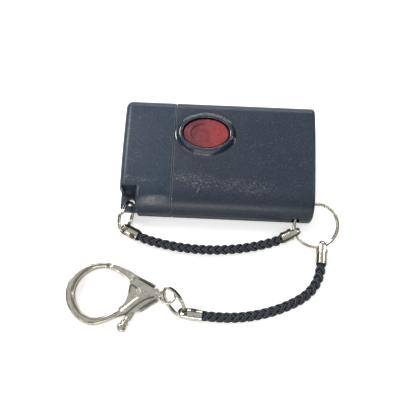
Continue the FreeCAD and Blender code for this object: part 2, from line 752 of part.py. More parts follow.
switch_blank = board_block("switch_blank", BUTTON_X, "dims.button_y", "dims.switch_side",
                           "dims.switch_side", "dims.switch_body")
PLUNGER_TOP = f"({FLANGE_BASE} - dims.plunger_gap)"
PLUNGER_BASE = f"({SWITCH_TOP} - dims.button_travel - dims.plunger_foot)"
plunger_bore = upright("plunger_bore", "dims.plunger_radius + dims.plunger_bore_gap", BUTTON_X,
                       "dims.button_y", f"{PLUNGER_BASE} - dims.button_travel - dims.plunger_foot", TALL)
subpart(cut("switch_cut", switch_blank, plunger_bore), "tact_switch")
subpart(upright("plunger", "dims.plunger_radius", BUTTON_X, "dims.button_y", PLUNGER_BASE,
                f"{PLUNGER_TOP} - {PLUNGER_BASE}"), "switch_plunger")
subpart(board_block("chip", f"{BOARD_END} - dims.chip_from_end", "dims.chip_y",
                    "dims.chip_length", "dims.chip_width", "dims.chip_height"), "controller_chip")
subpart(board_block("can", f"{BOARD_END} - dims.can_from_end", "dims.can_y",
                    "dims.can_length", "dims.can_width", "dims.can_height"), "radio_shield")
crystal_blank = board_block("crystal_blank", f"{BOARD_END} - dims.crystal_from_end", "dims.crystal_y",
                            "dims.crystal_width", "dims.crystal_length", "dims.crystal_height")
subpart(crystal_blank, "crystal_can")
ANTENNA_END = f"({BOARD_END} - dims.antenna_margin)"
BOARD_FAR = "(dims.board_edge + dims.board_width - dims.antenna_margin)"
antenna_start = f"{ANTENNA_END} - dims.antenna_length"
antenna_run = box("antenna_run", (antenna_start, f"{BOARD_FAR} - dims.antenna_strip", BOARD_TOP),
                  ("dims.antenna_length - 2 * dims.boss_radius - 2 * dims.antenna_margin",
                   "dims.antenna_strip", "dims.antenna_height"))
antenna_turn = box("antenna_turn", (antenna_start, f"{BOARD_FAR} - dims.antenna_leg", BOARD_TOP),
                   ("dims.antenna_strip", "dims.antenna_leg", "dims.antenna_height"))
subpart(fuse("antenna_bend", antenna_run, antenna_turn), "antenna_strip")

# Cell, lying along the lower side, its far end in the cap.
cell_can = lying_cylinder(
    "cell_can", "dims.cell_radius", "dims.cell_length", (CELL_START, "dims.cell_y", "dims.cell_z"))
cell_nub = lying_cylinder("cell_nub", "dims.cell_nub_radius", "dims.cell_nub + dims.wall",
                          (f"{CELL_START} - dims.cell_nub", "dims.cell_y", "dims.cell_z"))
subpart(fuse("cell_whole", cell_can, cell_nub), "battery_cell")
subpart(box("cap_plate", (f"{CELL_START} - dims.cell_nub - dims.cell_gap - dims.contact_thick",
                          "dims.cell_y - dims.contact_width / 2", "dims.wall"),
            ("dims.contact_thick", "dims.contact_width", "dims.contact_top - dims.wall")), "cap_contact")
COIL_START = f"({CELL_START} + dims.cell_length + dims.cell_gap + dims.coil_wire / 2)"
spring_plate = box("spring_plate",
                   (f"{COIL_START} + dims.coil_length", "dims.cell_y - dims.contact_width / 2", "dims.wall"),
                   ("dims.contact_thick", "dims.contact_width", "dims.contact_top - dims.wall"))


def helix_solid(radius, pitch, turns, profile_points, base=0.0):
    """A solid swept along a helix about Z from a profile in the XZ plane."""
    path = Part.makeHelix(pitch, pitch * turns, radius)
    path.translate(FreeCAD.Vector(0, 0, base))
    points = [FreeCAD.Vector(radius + x, 0, base + z) for x, z in profile_points]
    profile = Part.makePolygon(points + points[:1])
    return Part.Wire(path.Edges).makePipeShell([profile], True, True)


def octagon(half_x, half_z, chamfer):
    """The eight corners of a rectangle with its corners cut off."""
    corners = []
    for sx, sz in ((1, 1), (-1, 1), (-1, -1), (1, -1)):
        near = (sx * half_x, sz * (half_z - chamfer))
        far = (sx * (half_x - chamfer), sz * half_z)
        corners += [near, far] if sx == sz else [far, near]
    return corners


coil = doc.addObject("Part::Feature", "coil")
wire_half = size("coil_wire") / 2
coil.Shape = helix_solid(
    size("coil_radius"), size("coil_length") / size("coil_turns"), size("coil_turns"),
    octagon(wire_half, wire_half, wire_half / 2))
coil.Placement.Rotation = FreeCAD.Rotation(FreeCAD.Vector(0, 1, 0), 90)
place(coil, f"{COIL_START}", "dims.cell_y", "dims.cell_z")
subpart(fuse("spring_whole", spring_plate, coil), "spring_contact")


def split_ring(name, radius, radial, axial, placement):
    """A ring of two flat turns lying on each other, as a short helix."""
    pitch = axial + size("ring_slit")
    turns = 2.0
    profile = octagon(radial / 2, axial / 2, size("ring_chamfer"))
    shape = helix_solid(radius - radial / 2, pitch, turns, profile, -pitch * turns / 2)
    ring = doc.addObject("Part::Feature", name)
    ring.Shape = shape
    ring.Placement = placement
    return ring


ring_home = FreeCAD.Vector(size("body_length") / 2 + size("body_ring_out"),
                           -size("body_width") / 2 - size("body_ring_down"), 0)
body_ring_mean = size("body_ring_radius") - size("body_ring_radial") / 2
body_ring_place = FreeCAD.Placement(
    ring_home + FreeCAD.Vector(0, 0, size("body_ring_z")),
    FreeCAD.Rotation(FreeCAD.Vector(1, 0, 0), size("body_ring_tilt"))
    * FreeCAD.Rotation(FreeCAD.Vector(0, 0, 1), size("body_ring_split")))
subpart(split_ring("big_ring", size("body_ring_radius"), size("body_ring_radial"), size("body_ring_axial"),
                   body_ring_place), "body_ring")

# The cap's ring stands on edge through the lug's eye, leaning a little.
turn = math.radians(size("cap_ring_turn"))
ring_away = FreeCAD.Vector(math.cos(turn), -math.sin(turn), 0)
cap_ring_mean = size("cap_ring_radius") - size("cap_ring_radial") / 2
lug_eye = FreeCAD.Vector(
    size("lug_hole_inset") - size("body_length") / 2, size("lug_hole_edge") - size("body_width") / 2,
    size("cap_ring_z"))
cap_ring_centre = lug_eye + ring_away * cap_ring_mean
lean = FreeCAD.Rotation(ring_away, size("cap_ring_lean"))
ring_up = lean.multVec(FreeCAD.Vector(0, 0, 1))
cap_ring_place = FreeCAD.Placement(
    cap_ring_centre,
    FreeCAD.Rotation(ring_away, ring_up, ring_away.cross(ring_up), "XZY")
    * FreeCAD.Rotation(FreeCAD.Vector(0, 0, 1), size("cap_ring_split")))
subpart(split_ring("small_ring", size("cap_ring_radius"), size("cap_ring_radial"), size("cap_ring_axial"),
                   cap_ring_place), "cap_ring")


# Cord routes: a ferrule's eye hangs on a ring, and the cord starts in line with it.
REST_GAP = 0.05
STRAP_RUNS = 9
STRAP_CROWDING = 0.4
LIFT_SHARE = 0.25
TRIM_SHARE = 0.45
# The tether beyond its first run, measured from the large ring's centre.
TETHER_REST = [
    (1.10, -18.70, 1.90), (-0.85, -22.00, 1.90), (-3.60, -24.70, 1.90), (-7.37, -27.03, 1.90),
    (-12.85, -29.53, 1.90), (-18.75, -31.35, 1.90), (-24.85, -32.55, 1.90), (-30.85, -32.90, 1.90),
    (-36.65, -32.70, 1.97), (-39.75, -32.47, 2.31)]


def ring_point(place_of_ring, radius, angle):
    """A point of a ring's mean circle and the ring's direction there."""
    turned = math.radians(angle)
    point = FreeCAD.Vector(math.cos(turned), math.sin(turned), 0) * radius
    along = FreeCAD.Vector(-math.sin(turned), math.cos(turned), 0)
    return place_of_ring.multVec(point), place_of_ring.Rotation.multVec(along)


def heading_vector(heading, rise):
    """A direction from its angle in plan and its angle above the ground."""
    across, upwards = math.radians(heading), math.radians(rise)
    return FreeCAD.Vector(math.cos(upwards) * math.cos(across), math.cos(upwards) * math.sin(across),
                          math.sin(upwards))


def first_run(eye, way, run, length):
    """A cord's end and its next control point, in line with its ferrule's eye."""
    end = eye + way * (length - size("ferrule_socket"))
    return [end, end + way * run]


def strap_points(cap_eye, ring_eye):
    """The strap's control points: a shallow sag between its two ferrules."""
    length = size("strap_ferrule_length")
    near = first_run(cap_eye, heading_vector(size("strap_cap_heading"), -size("strap_cap_dip")),
                     size("strap_cap_run"), length)
    far = first_run(ring_eye, -heading_vector(size("strap_ring_heading"), size("strap_ring_rise")),
                    size("strap_ring_run"), length)
    inner = []
    for step in range(1, STRAP_RUNS):
        even = step / STRAP_RUNS
        part = even - STRAP_CROWDING * math.sin(2 * math.pi * even) / (2 * math.pi)
        point = near[1] + (far[1] - near[1]) * part
        sag = 4 * size("strap_sag") * part * (1 - part)
        rest = size("cord_diameter") / 2 + REST_GAP
        lift = (far[1].z - rest) * max(0, 1 - (1 - part) / LIFT_SHARE) ** 2
        inner.append(FreeCAD.Vector(point.x, point.y - sag, rest + lift))
    return near + inner + far[::-1]


cap_eye, cap_eye_along = ring_point(
    cap_ring_place, cap_ring_mean, size("strap_cap_angle") - size("cap_ring_split"))
strap_eye, strap_eye_along = ring_point(
    body_ring_place, body_ring_mean, size("strap_ring_angle") - size("body_ring_split"))
tether_eye, tether_eye_along = ring_point(
    body_ring_place, body_ring_mean, size("tether_ring_angle") - size("body_ring_split"))
strap = strap_points(cap_eye, strap_eye)
tether = first_run(tether_eye, heading_vector(size("tether_ring_heading"), -size("tether_ring_dip")),
                   size("tether_ring_run"), size("tether_ferrule_length"))
tether += [ring_home + FreeCAD.Vector(*point) for point in TETHER_REST]


def cord_tube(name, route, radius):
    """A round tube along straight runs joined by tangent arcs."""
    points = route
    edges = []
    start = points[0]
    radii = []
    for before, corner, after in zip(points, points[1:], points[2:]):
        into = (corner - before).normalize()
        out = (after - corner).normalize()
        half_turn = into.getAngle(out) / 2
        trim = TRIM_SHARE * min((corner - before).Length, (after - corner).Length)
        bend = trim / math.tan(half_turn)
        radii.append(bend)
        first = corner - into * trim
        last = corner + out * trim
        inward = (out - into).normalize()
        middle = corner + inward * (bend / math.cos(half_turn) - bend)
        edges.append(Part.LineSegment(start, first).toShape())
        edges.append(Part.Arc(first, middle, last).toShape())
        start = last
    edges.append(Part.LineSegment(start, points[-1]).toShape())
    path = Part.Wire(edges)
    heading = points[1] - points[0]
    profile = Part.Wire(Part.makeCircle(radius, points[0], heading))
    tube = path.makePipeShell([profile], True, False)
    print(f"{name}: length {path.Length:.1f}, radii", " ".join(f"{value:.0f}" for value in radii),
          f"volume ratio {tube.Volume / (math.pi * radius ** 2 * path.Length):.4f}")
    thing = doc.addObject("Part::Feature", name)
    thing.Shape = tube
    return thing


subpart(cord_tube("strap_tube", strap, size("cord_diameter") / 2), "strap_cord")
subpart(cord_tube("tether_tube", tether, size("cord_diameter") / 2), "tether_cord")


def ferrule(name, end, following, hole_axis, length, thickness):
    """A crimped barrel on a cord's end, with an eye drilled through its domed tip.

    The barrel lies on the line of the cord's last run; the eye's hole turns
    as near to hole_axis as that line allows.
    """
    inward = (following - end).normalize()
    side = (hole_axis - inward * hole_axis.dot(inward)).normalize()
    eye = end - inward * (size(length) - size("ferrule_socket"))
    barrel = lying_cylinder(name + "_barrel", "dims.ferrule_radius",
                            f"dims.{length} - dims.ferrule_shoulder", ("dims.ferrule_shoulder", "0", "0"))
    neck = doc.addObject("Part::Cone", name + "_neck")
    neck.setExpression("Radius1", "dims.eye_radius")
    neck.setExpression("Radius2", "dims.ferrule_radius")
    neck.setExpression("Height", "dims.ferrule_shoulder")
    neck.Placement.Rotation = FreeCAD.Rotation(FreeCAD.Vector(0, 1, 0), 90)
    dome = doc.addObject("Part::Sphere", name + "_dome")
    dome.setExpression("Radius", "dims.eye_radius")
    hole = cylinder(name + "_hole", "dims.eye_hole", "2 * dims.ferrule_radius",
                    ("0", "0", "-dims.ferrule_radius"))
    socket = lying_cylinder(name + "_socket", "dims.ferrule_bore / 2", f"dims.ferrule_socket + {OVER}",
                            (f"dims.{length} - dims.ferrule_socket", "0", "0"))
    tools = [hole, socket]
    wide = "dims.ferrule_radius"
    for key, crimp_base, flat_base in (
            ("top", f"{wide} - dims.crimp_depth", f"{thickness} / 2"),
            ("bottom", f"-2 * {wide} + dims.crimp_depth", f"-{thickness} / 2 - {wide}")):
        tools.append(box(f"{name}_crimp_{key}", ("dims.crimp_start", "-dims.crimp_width / 2", crimp_base),
                         ("dims.crimp_length", "dims.crimp_width", wide)))
        tools.append(box(f"{name}_flat_{key}", (f"-{wide}", f"-{wide}", flat_base),
                         (f"{wide} + dims.eye_hole", f"2 * {wide}", wide)))
    thing = cut(name, fuse(name + "_blank", barrel, neck, dome), *tools)
    thing.Placement = FreeCAD.Placement(eye, FreeCAD.Rotation(inward, side.cross(inward), side, "XZY"))
    return thing


vertical = FreeCAD.Vector(0, 0, 1)


link_ferrule_eye = tether[-1] - (tether[-2] - tether[-1]).normalize() * (
    size("tether_ferrule_length") - size("ferrule_socket"))
for name, ends, along, length in (
        ("strap_ferrule_cap", (strap[0], strap[1]), cap_eye_along, "strap_ferrule_length"),
        ("strap_ferrule_ring", (strap[-1], strap[-2]), strap_eye_along, "strap_ferrule_length"),
        ("tether_ferrule_ring", (tether[0], tether[1]), tether_eye_along, "tether_ferrule_length")):
    subpart(ferrule(name + "_body", *ends, along, length, "dims.eye_thick"), name)

# Oval link of two pressed turns between the tether and the swivel.
link_place = FreeCAD.Placement(
    ring_home + FreeCAD.Vector(-size("link_back"), -size("link_down"), size("link_z")),
    FreeCAD.Rotation(vertical, size("link_heading"))
    * FreeCAD.Rotation(FreeCAD.Vector(0, 1, 0), size("link_pitch"))
    * FreeCAD.Rotation(FreeCAD.Vector(1, 0, 0), size("link_tilt")))


def oval_plate(grow, thickness):
    """A flat oval about the link's mean line, grown outwards by a distance."""
    long_half = size("link_half_length") + grow
    wide_half = size("link_half_width") + grow
    major, minor = max(long_half, wide_half), min(long_half, wide_half)
    edge = Part.Ellipse(FreeCAD.Vector(0, 0, -thickness / 2), major, minor).toShape()
    return Part.Face(Part.Wire(edge)).extrude(FreeCAD.Vector(0, 0, thickness))


def link_shape():
    """The link's ring, with a groove round its outside between the turns."""
    radial = size("link_radial") / 2
    ring = oval_plate(radial, size("link_axial")).cut(oval_plate(-radial, 2 * size("link_axial")))
    groove = oval_plate(2 * radial, size("link_groove")).cut(
        oval_plate(radial - size("link_groove_depth"), 2 * size("link_groove")))
    return ring.cut(groove)


link = doc.addObject("Part::Feature", "link")
link.Shape = link_shape()
link.Placement = link_place
subpart(link, "oval_link")


def link_direction(target):
    """The link's direction at the place of its mean line nearest a target."""
    long_half, wide_half = size("link_half_length"), size("link_half_width")
    best = None
    for degrees in range(0, 360, 2):
        turned = math.radians(degrees)
        point = FreeCAD.Vector(long_half * math.cos(turned), wide_half * math.sin(turned), 0)
        along = FreeCAD.Vector(-long_half * math.sin(turned), wide_half * math.cos(turned), 0)
        gap = (link_place.multVec(point) - target).Length
        if best is None or gap < best[0]:
            best = (gap, link_place.Rotation.multVec(along).normalize())
    return best[1]


subpart(ferrule("tether_ferrule_link_body", tether[-1], tether[-2], link_direction(link_ferrule_eye),
                "tether_ferrule_length", "dims.link_eye_thick"), "tether_ferrule_link")

# Clasp pieces are drawn in the clasp's own plane: u from the swivel towards the
# hook's tip, w towards the trigger, and then turned half round into place.
clasp_place = FreeCAD.Placement(
    ring_home + FreeCAD.Vector(-size("clasp_back"), -size("clasp_down"), size("clasp_z")),
    FreeCAD.Rotation(vertical, 180))
PIVOT = FreeCAD.Vector(size("pivot_u"), size("pivot_w"), 0)


def flat(points):
    """Plane points as vectors."""
    return [FreeCAD.Vector(u, w, 0) for u, w in points]


def curve(points):
    """A smooth edge through plane points."""
    spline = Part.BSplineCurve()
    spline.interpolate(flat(points))
    return spline.toShape()


def straight(start, end):
    """A straight edge between two plane points."""
    return Part.LineSegment(*flat([start, end])).toShape()


def slab(edges, thickness):
    """A plate of the given thickness about the clasp's middle plane."""
    face = Part.Face(Part.Wire(Part.__sortEdges__(edges)))
    plate = face.extrude(FreeCAD.Vector(0, 0, thickness))
    plate.translate(FreeCAD.Vector(0, 0, -thickness / 2))
    return plate


def rounded(plate, thickness, radius):
    """A plate with the edges of its two faces rounded."""
    rims = [edge for edge in plate.Edges
            if abs(abs(edge.BoundBox.ZMin) - thickness / 2) < NEAR and edge.BoundBox.ZLength < NEAR]
    return plate.makeFillet(radius, rims)


def polar(angle, radius):
    """A plane point at an angle and distance from the gate's pivot."""
    turned = math.radians(angle)
    return (PIVOT.x + radius * math.cos(turned), PIVOT.y + radius * math.sin(turned))


def sector(start, end, radius):
    """A pie slice about the pivot, as a plate as thick as the slot."""
    middle = polar((start + end) / 2, radius)
    arc = Part.Arc(*flat([polar(start, radius), middle, polar(end, radius)])).toShape()
    centre = (PIVOT.x, PIVOT.y)
    return slab([straight(centre, polar(start, radius)), arc, straight(polar(end, radius), centre)],
                size("slot_thick"))


def strip(angle, length, half_width, thickness):
    """A straight plate from the pivot outwards at an angle."""
    plate = Part.makeBox(length, 2 * half_width, thickness, FreeCAD.Vector(0, -half_width, -thickness / 2))
    plate.rotate(FreeCAD.Vector(0, 0, 0), vertical, angle)
    plate.translate(PIVOT)
    return plate


def disc_at(radius, thickness, centre=None):
    """A round plate about the clasp's middle plane."""
    middle = centre or PIVOT
    return Part.makeCylinder(radius, thickness, middle - FreeCAD.Vector(0, 0, thickness / 2))


NECK = size("neck_face")
NECK_HALF = size("neck_half")
HOOK_INNER = [
    (12.9, -3.7), (13.35, -1.3), (13.55, 0.9), (14.3, 3.0), (16.1, 4.9), (18.9, 6.9), (21.9, 8.15),
    (24.4, 8.5), (29.6, 6.1), (32.0, 0.2), (29.4, -5.6), (25.6, -8.0), (21.4, -8.5)]
HOOK_OUTER = [
    (20.25, -10.25), (25.0, -9.95), (31.4, -7.3), (34.9, 0.0), (32.1, 7.7), (25.4, 11.2), (21.5, 10.35),
    (14.7, 7.45), (9.2, 5.9), (5.2, 3.3), (NECK, NECK_HALF)]
CHEEK_TOP = [(NECK, -NECK_HALF), (8.8, -4.1), (10.6, -4.75), (12.9, -3.7)]
CHEEK_INNER = HOOK_INNER[:5]
CHEEK_LOWER = [(16.1, 4.9), (15.6, 7.2), (12.4, 6.7), (9.2, 5.9), (5.2, 3.3), (NECK, NECK_HALF)]


def clasp_body_shape():
    """Hook and cheeks as cast, slotted for the gate, bored for pin and swivel."""
    hook = rounded(slab([curve(HOOK_INNER), straight(HOOK_INNER[-1], HOOK_OUTER[0]), curve(HOOK_OUTER),
                         straight(HOOK_OUTER[-1], CHEEK_TOP[0]), curve(CHEEK_TOP)], size("hook_thick")),
                   size("hook_thick"), size("hook_round"))
    cheeks = rounded(slab([curve(CHEEK_TOP), curve(CHEEK_INNER), curve(CHEEK_LOWER),
                           straight(CHEEK_LOWER[-1], CHEEK_TOP[0])], size("cheek_thick")),
                     size("cheek_thick"), size("cheek_round"))
    blank = hook.fuse(cheeks)
    swing = size("gate_swing")
    reach = size("knob_reach") - size("knob_radius")
    heel_room = size("heel_radius") + 2 * size("spring_gap") + size("spring_wire")
    slot = disc_at(heel_room, size("slot_thick"))
    slot = slot.fuse(
        sector(size("slot_from"), size("slot_to"), size("nose_radius") + 2 * size("gate_clearance")))
    slot = slot.fuse(sector(size("knob_angle"), size("knob_angle") + swing, reach))
    for angle in (size("knob_angle"), size("knob_angle") + swing):
        slot = slot.fuse(strip(angle, reach, size("arm_half_width") + size("gate_clearance"),
                               size("slot_thick")))
    chamber_start = NECK + size("neck_wall")
    chamber_end = chamber_start + size("head_thick") + 2 * size("rivet_gap")
    span = HOOK_OUTER[3][0]
    beyond_neck = Part.makeBox(span, 2 * span, 2 * size("cheek_thick"),
                               FreeCAD.Vector(chamber_end - size("rivet_gap"), -span, -size("cheek_thick")))
    slot = slot.common(beyond_neck)
    axis = FreeCAD.Vector(1, 0, 0)
    bore = Part.makeCylinder(size("shank_radius") + size("shank_gap"), size("neck_wall") + 2 * OVER,
                             FreeCAD.Vector(NECK - OVER, 0, 0), axis)
    chamber = Part.makeCylinder(size("rivet_radius") + size("rivet_gap"), chamber_end - chamber_start,
                                FreeCAD.Vector(chamber_start, 0, 0), axis)
    pin_hole = disc_at(size("pin_radius") + size("pin_seat_gap"), 2 * size("cheek_thick"))
    return blank.cut([slot, bore, chamber, pin_hole]).removeSplitter()


GATE_OUTER = [(19.9, -10.05), (14.6, -8.35), (11.3, -6.75), (9.7, -5.75)]
GATE_INNER = [(21.05, -8.35), (16.7, -6.5), (13.55, -4.05)]
HEEL_TAIL = [(9.7, -5.75), (4.4, -3.4), (4.3, -2.95)]
HEEL_FRONT = [(13.4, -4.0), (12.4, -6.6)]


def gate_shape():
    """Gate arm, heel and trigger as one lever on its pin."""
    root = size("nose_radius") + size("gate_clearance")
    edge_inner = polar(size("arm_root"), root)
    edge_outer = GATE_OUTER[-1]
    arm = slab([curve(GATE_OUTER), straight(edge_outer, edge_inner), straight(edge_inner, GATE_INNER[-1]),
                curve(GATE_INNER), straight(GATE_INNER[0], GATE_OUTER[0])], size("gate_arm_thick"))
    arm = arm.cut(disc_at(root, 2 * size("gate_arm_thick")))
    corners = [*HEEL_TAIL,
               polar(size("heel_from"), size("heel_radius")), polar(size("heel_to"), size("heel_radius")),
               *HEEL_FRONT]
    heel = slab([straight(one, other) for one, other in zip(corners, corners[1:] + corners[:1])],
                size("gate_thick"))
    boss = disc_at(size("heel_radius"), size("gate_thick"))
    angle = size("knob_angle")
    along = FreeCAD.Vector(math.cos(math.radians(angle)), math.sin(math.radians(angle)), 0)
    bar_start = size("knob_reach") - size("knob_radius") - size("knob_bar")
    lever = strip(angle, bar_start + size("knob_collar"), size("arm_half_width"), size("gate_thick"))
    bar = Part.makeCone(size("arm_radius"), size("arm_end_radius"), size("knob_reach") - bar_start,
                        PIVOT + along * bar_start, along)
    knob = Part.makeSphere(size("knob_radius"), PIVOT + along * size("knob_reach"))
    collar_start = size("knob_reach") - size("knob_radius") - size("knob_collar") / 2
    ring = Part.makeCylinder(
        size("knob_collar_radius"), size("knob_collar"), PIVOT + along * collar_start, along)
    whole = arm.fuse([heel, boss, lever, bar, knob, ring])
    pin_hole = disc_at(size("pin_radius") + size("pin_run_gap"), 2 * size("cheek_thick"))
    return whole.cut(pin_hole).removeSplitter()


def spring_shape():
    """A wire bow round the back of the gate's heel."""
    radius = size("heel_radius") + size("spring_gap") + size("spring_wire") / 2
    first, last = size("spring_start"), size("spring_end")
    middle = (first + last) / 2
    bow = Part.Arc(*flat([polar(first, radius), polar(middle, radius), polar(last, radius)])).toShape()
    start = FreeCAD.Vector(*polar(first, radius), 0)
    heading = FreeCAD.Vector(-math.sin(math.radians(first)), math.cos(math.radians(first)), 0)
    profile = Part.Wire(Part.makeCircle(size("spring_wire") / 2, start, heading))
    return Part.Wire([bow]).makePipeShell([profile], True, False)


def swivel_shape():
    """Round eye, shank and rivet head of the swivel, on the clasp's axis."""
    ring = Part.makeTorus(size("swivel_radius"), size("swivel_wire"))
    axis = FreeCAD.Vector(1, 0, 0)
    head_start = NECK + size("neck_wall") + size("rivet_gap")
    shank = Part.makeCylinder(size("shank_radius"), head_start + size("head_thick") - size("swivel_radius"),
                              FreeCAD.Vector(size("swivel_radius"), 0, 0), axis)
    head = Part.makeCylinder(size("rivet_radius"), size("head_thick"), FreeCAD.Vector(head_start, 0, 0), axis)
    return ring.fuse([shank, head]).removeSplitter()


for label, shape in (
        ("clasp_body", clasp_body_shape()),
        ("clasp_gate", gate_shape()),
        ("gate_pin", disc_at(size("pin_radius"), size("cheek_thick"))),
        ("gate_spring", spring_shape()),
        ("swivel_eye", swivel_shape())):
    piece = doc.addObject("Part::Feature", label + "_form")
    piece.Shape = shape
    piece.Placement = clasp_place
    subpart(piece, label)

doc.recompute()

# Nothing is written unless every object and every piece is sound.
for thing in doc.Objects:
    if "Invalid" in thing.State or "Error" in thing.State:
        raise RuntimeError(f"{thing.Name} did not compute: {thing.State}")
for thing in SUBPARTS:
    if thing.Shape.isNull() or not thing.Shape.isValid():
        raise RuntimeError(f"{thing.Label} is not a sound shape")
    if thing.Shape.Volume <= 0 or not thing.Shape.Solids:
        raise RuntimeError(f"{thing.Label} has no solid")
for thing in SUBPARTS:
    thing.Shape.exportStep(f"parts/{thing.Label}.step")
    low, high = thing.Shape.BoundBox, thing.Shape.BoundBox
    print(f"{thing.Label}: {len(thing.Shape.Solids)} solid, {thing.Shape.Volume:.1f} mm3, "
          f"z {low.ZMin:.2f} to {high.ZMax:.2f}")
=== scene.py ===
import bmesh
import bpy
import math
import numpy as np
from mathutils import Matrix, Vector


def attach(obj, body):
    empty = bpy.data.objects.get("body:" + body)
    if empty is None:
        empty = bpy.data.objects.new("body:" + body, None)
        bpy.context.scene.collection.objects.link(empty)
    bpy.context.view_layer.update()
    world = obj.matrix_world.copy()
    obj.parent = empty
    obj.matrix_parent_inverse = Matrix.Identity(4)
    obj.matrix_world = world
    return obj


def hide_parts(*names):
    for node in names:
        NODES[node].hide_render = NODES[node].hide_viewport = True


# Looks of the keyring alarm remote: moulded dark plastic, a glossy red button,
# worn nickel hardware and two plaited cords, on a white table.
# Lengths are in millimetres until the last step of each piece.

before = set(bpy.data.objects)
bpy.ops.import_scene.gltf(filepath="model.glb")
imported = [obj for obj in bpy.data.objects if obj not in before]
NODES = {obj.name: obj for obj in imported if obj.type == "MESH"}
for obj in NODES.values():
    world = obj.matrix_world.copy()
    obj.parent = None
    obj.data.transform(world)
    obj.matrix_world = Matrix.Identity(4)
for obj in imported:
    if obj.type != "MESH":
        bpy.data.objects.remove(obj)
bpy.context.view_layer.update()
MM = 0.001

# Camera: tilt from straight down, turn and roll in degrees, aim point on the
# table, distance and lens.
CAMERA_TILT = 16.0
CAMERA_PAN = 0.706
CAMERA_ROLL = 2.725
CAMERA_AIM = (-2.991, -15.05, 0.0)
CAMERA_DISTANCE = 221.384
CAMERA_LENS = 53.103

# Places on the housing: the seam beside the end cap, the button's centre and
# half length, and a speck of lint.
SEAM_X = -15.6
BUTTON_X = -4.65
BUTTON_Y = 7.15
BUTTON_HALF = 7.0
LINT = (-15.3, -16.1)

# The cords' route points, the same as the solids have.
STRAP_ROUTE = [
    (-28.31, -26.45, 2.25), (-25.40, -27.77, 2.08), (-22.07, -28.66, 1.90), (-17.84, -29.58, 1.90),
    (-12.22, -30.44, 1.90), (-5.37, -30.92, 1.90), (1.96, -30.76, 1.90), (8.81, -29.96, 1.90),
    (14.43, -28.84, 2.02), (18.66, -27.73, 2.37), (21.99, -26.68, 2.80), (24.62, -25.34, 3.32)]
TETHER_ROUTE = [
    (37.37, -32.82, 2.16), (37.19, -36.21, 2.07), (36.15, -39.95, 1.90), (34.20, -43.25, 1.90),
    (31.45, -45.95, 1.90), (27.68, -48.28, 1.90), (22.20, -50.78, 1.90), (16.30, -52.60, 1.90),
    (10.20, -53.80, 1.90), (4.20, -54.15, 1.90), (-1.60, -53.95, 1.97), (-4.70, -53.72, 2.31)]


class Net:
    """A node tree with short ways to add and join nodes."""

    def __init__(self, tree):
        self.tree = tree

    def node(self, kind, **settings):
        """A new node with the given properties."""
        added = self.tree.nodes.new(kind)
        for key, value in settings.items():
            setattr(added, key, value)
        return added

    def give(self, socket, value):
        """Put a number, a colour or another node's output into a socket."""
        if isinstance(value, bpy.types.NodeSocket):
            self.tree.links.new(value, socket)
        elif isinstance(value, tuple) and len(value) < len(socket.default_value):
            socket.default_value = (*value, 1.0)
        else:
            socket.default_value = value

    def noise(self, place, scale, detail=3.0, roughness=0.55):
        """Noise over a place; scale is in features per metre."""
        texture = self.node("ShaderNodeTexNoise")
        for key, value in (("Vector", place), ("Scale", scale), ("Detail", detail), ("Roughness", roughness)):
            self.give(texture.inputs[key], value)
        return texture.outputs["Fac"]

    def band(self, source, low, high, start=0.0, end=1.0):
        """Map a stretch of values smoothly onto another."""
        mapped = self.node("ShaderNodeMapRange", interpolation_type="SMOOTHSTEP")
        for key, value in (
                ("Value", source), ("From Min", low), ("From Max", high), ("To Min", start), ("To Max", end)):
            self.give(mapped.inputs[key], value)
        return mapped.outputs["Result"]

    def calc(self, operation, one, other=0.0):
        """Arithmetic on sources or numbers."""
        result = self.node("ShaderNodeMath", operation=operation)
        self.give(result.inputs[0], one)
        self.give(result.inputs[1], other)
        return result.outputs["Value"]

    def part(self, place, axis):
        """One coordinate of a place."""
        split = self.node("ShaderNodeSeparateXYZ")
        self.give(split.inputs["Vector"], place)
        return split.outputs[axis]

    def spread(self, operation, one, other):
        """Vector arithmetic on sources or triples."""
        result = self.node("ShaderNodeVectorMath", operation=operation)
        self.give(result.inputs[0], one)
        self.give(result.inputs[1], other)
        return result.outputs["Vector"]


class Effect(Net):
    """A node group that works out one pattern for several materials."""

    def __init__(self, name, inputs, output="Mask"):
        super().__init__(bpy.data.node_groups.new(name, "ShaderNodeTree"))
        for key, value in inputs.items():
            kind = "NodeSocketFloat" if isinstance(value, float) else "NodeSocketVector"
            socket = self.tree.interface.new_socket(name=key, in_out="INPUT", socket_type=kind)
            if isinstance(value, float):
                socket.default_value = value
        self.tree.interface.new_socket(name=output, in_out="OUTPUT", socket_type="NodeSocketFloat")
        self.given = self.node("NodeGroupInput").outputs
        self.ending = self.node("NodeGroupOutput").inputs[0]

    def ends(self, source):
        """Send a source out of the group."""
        self.tree.links.new(source, self.ending)
        return self


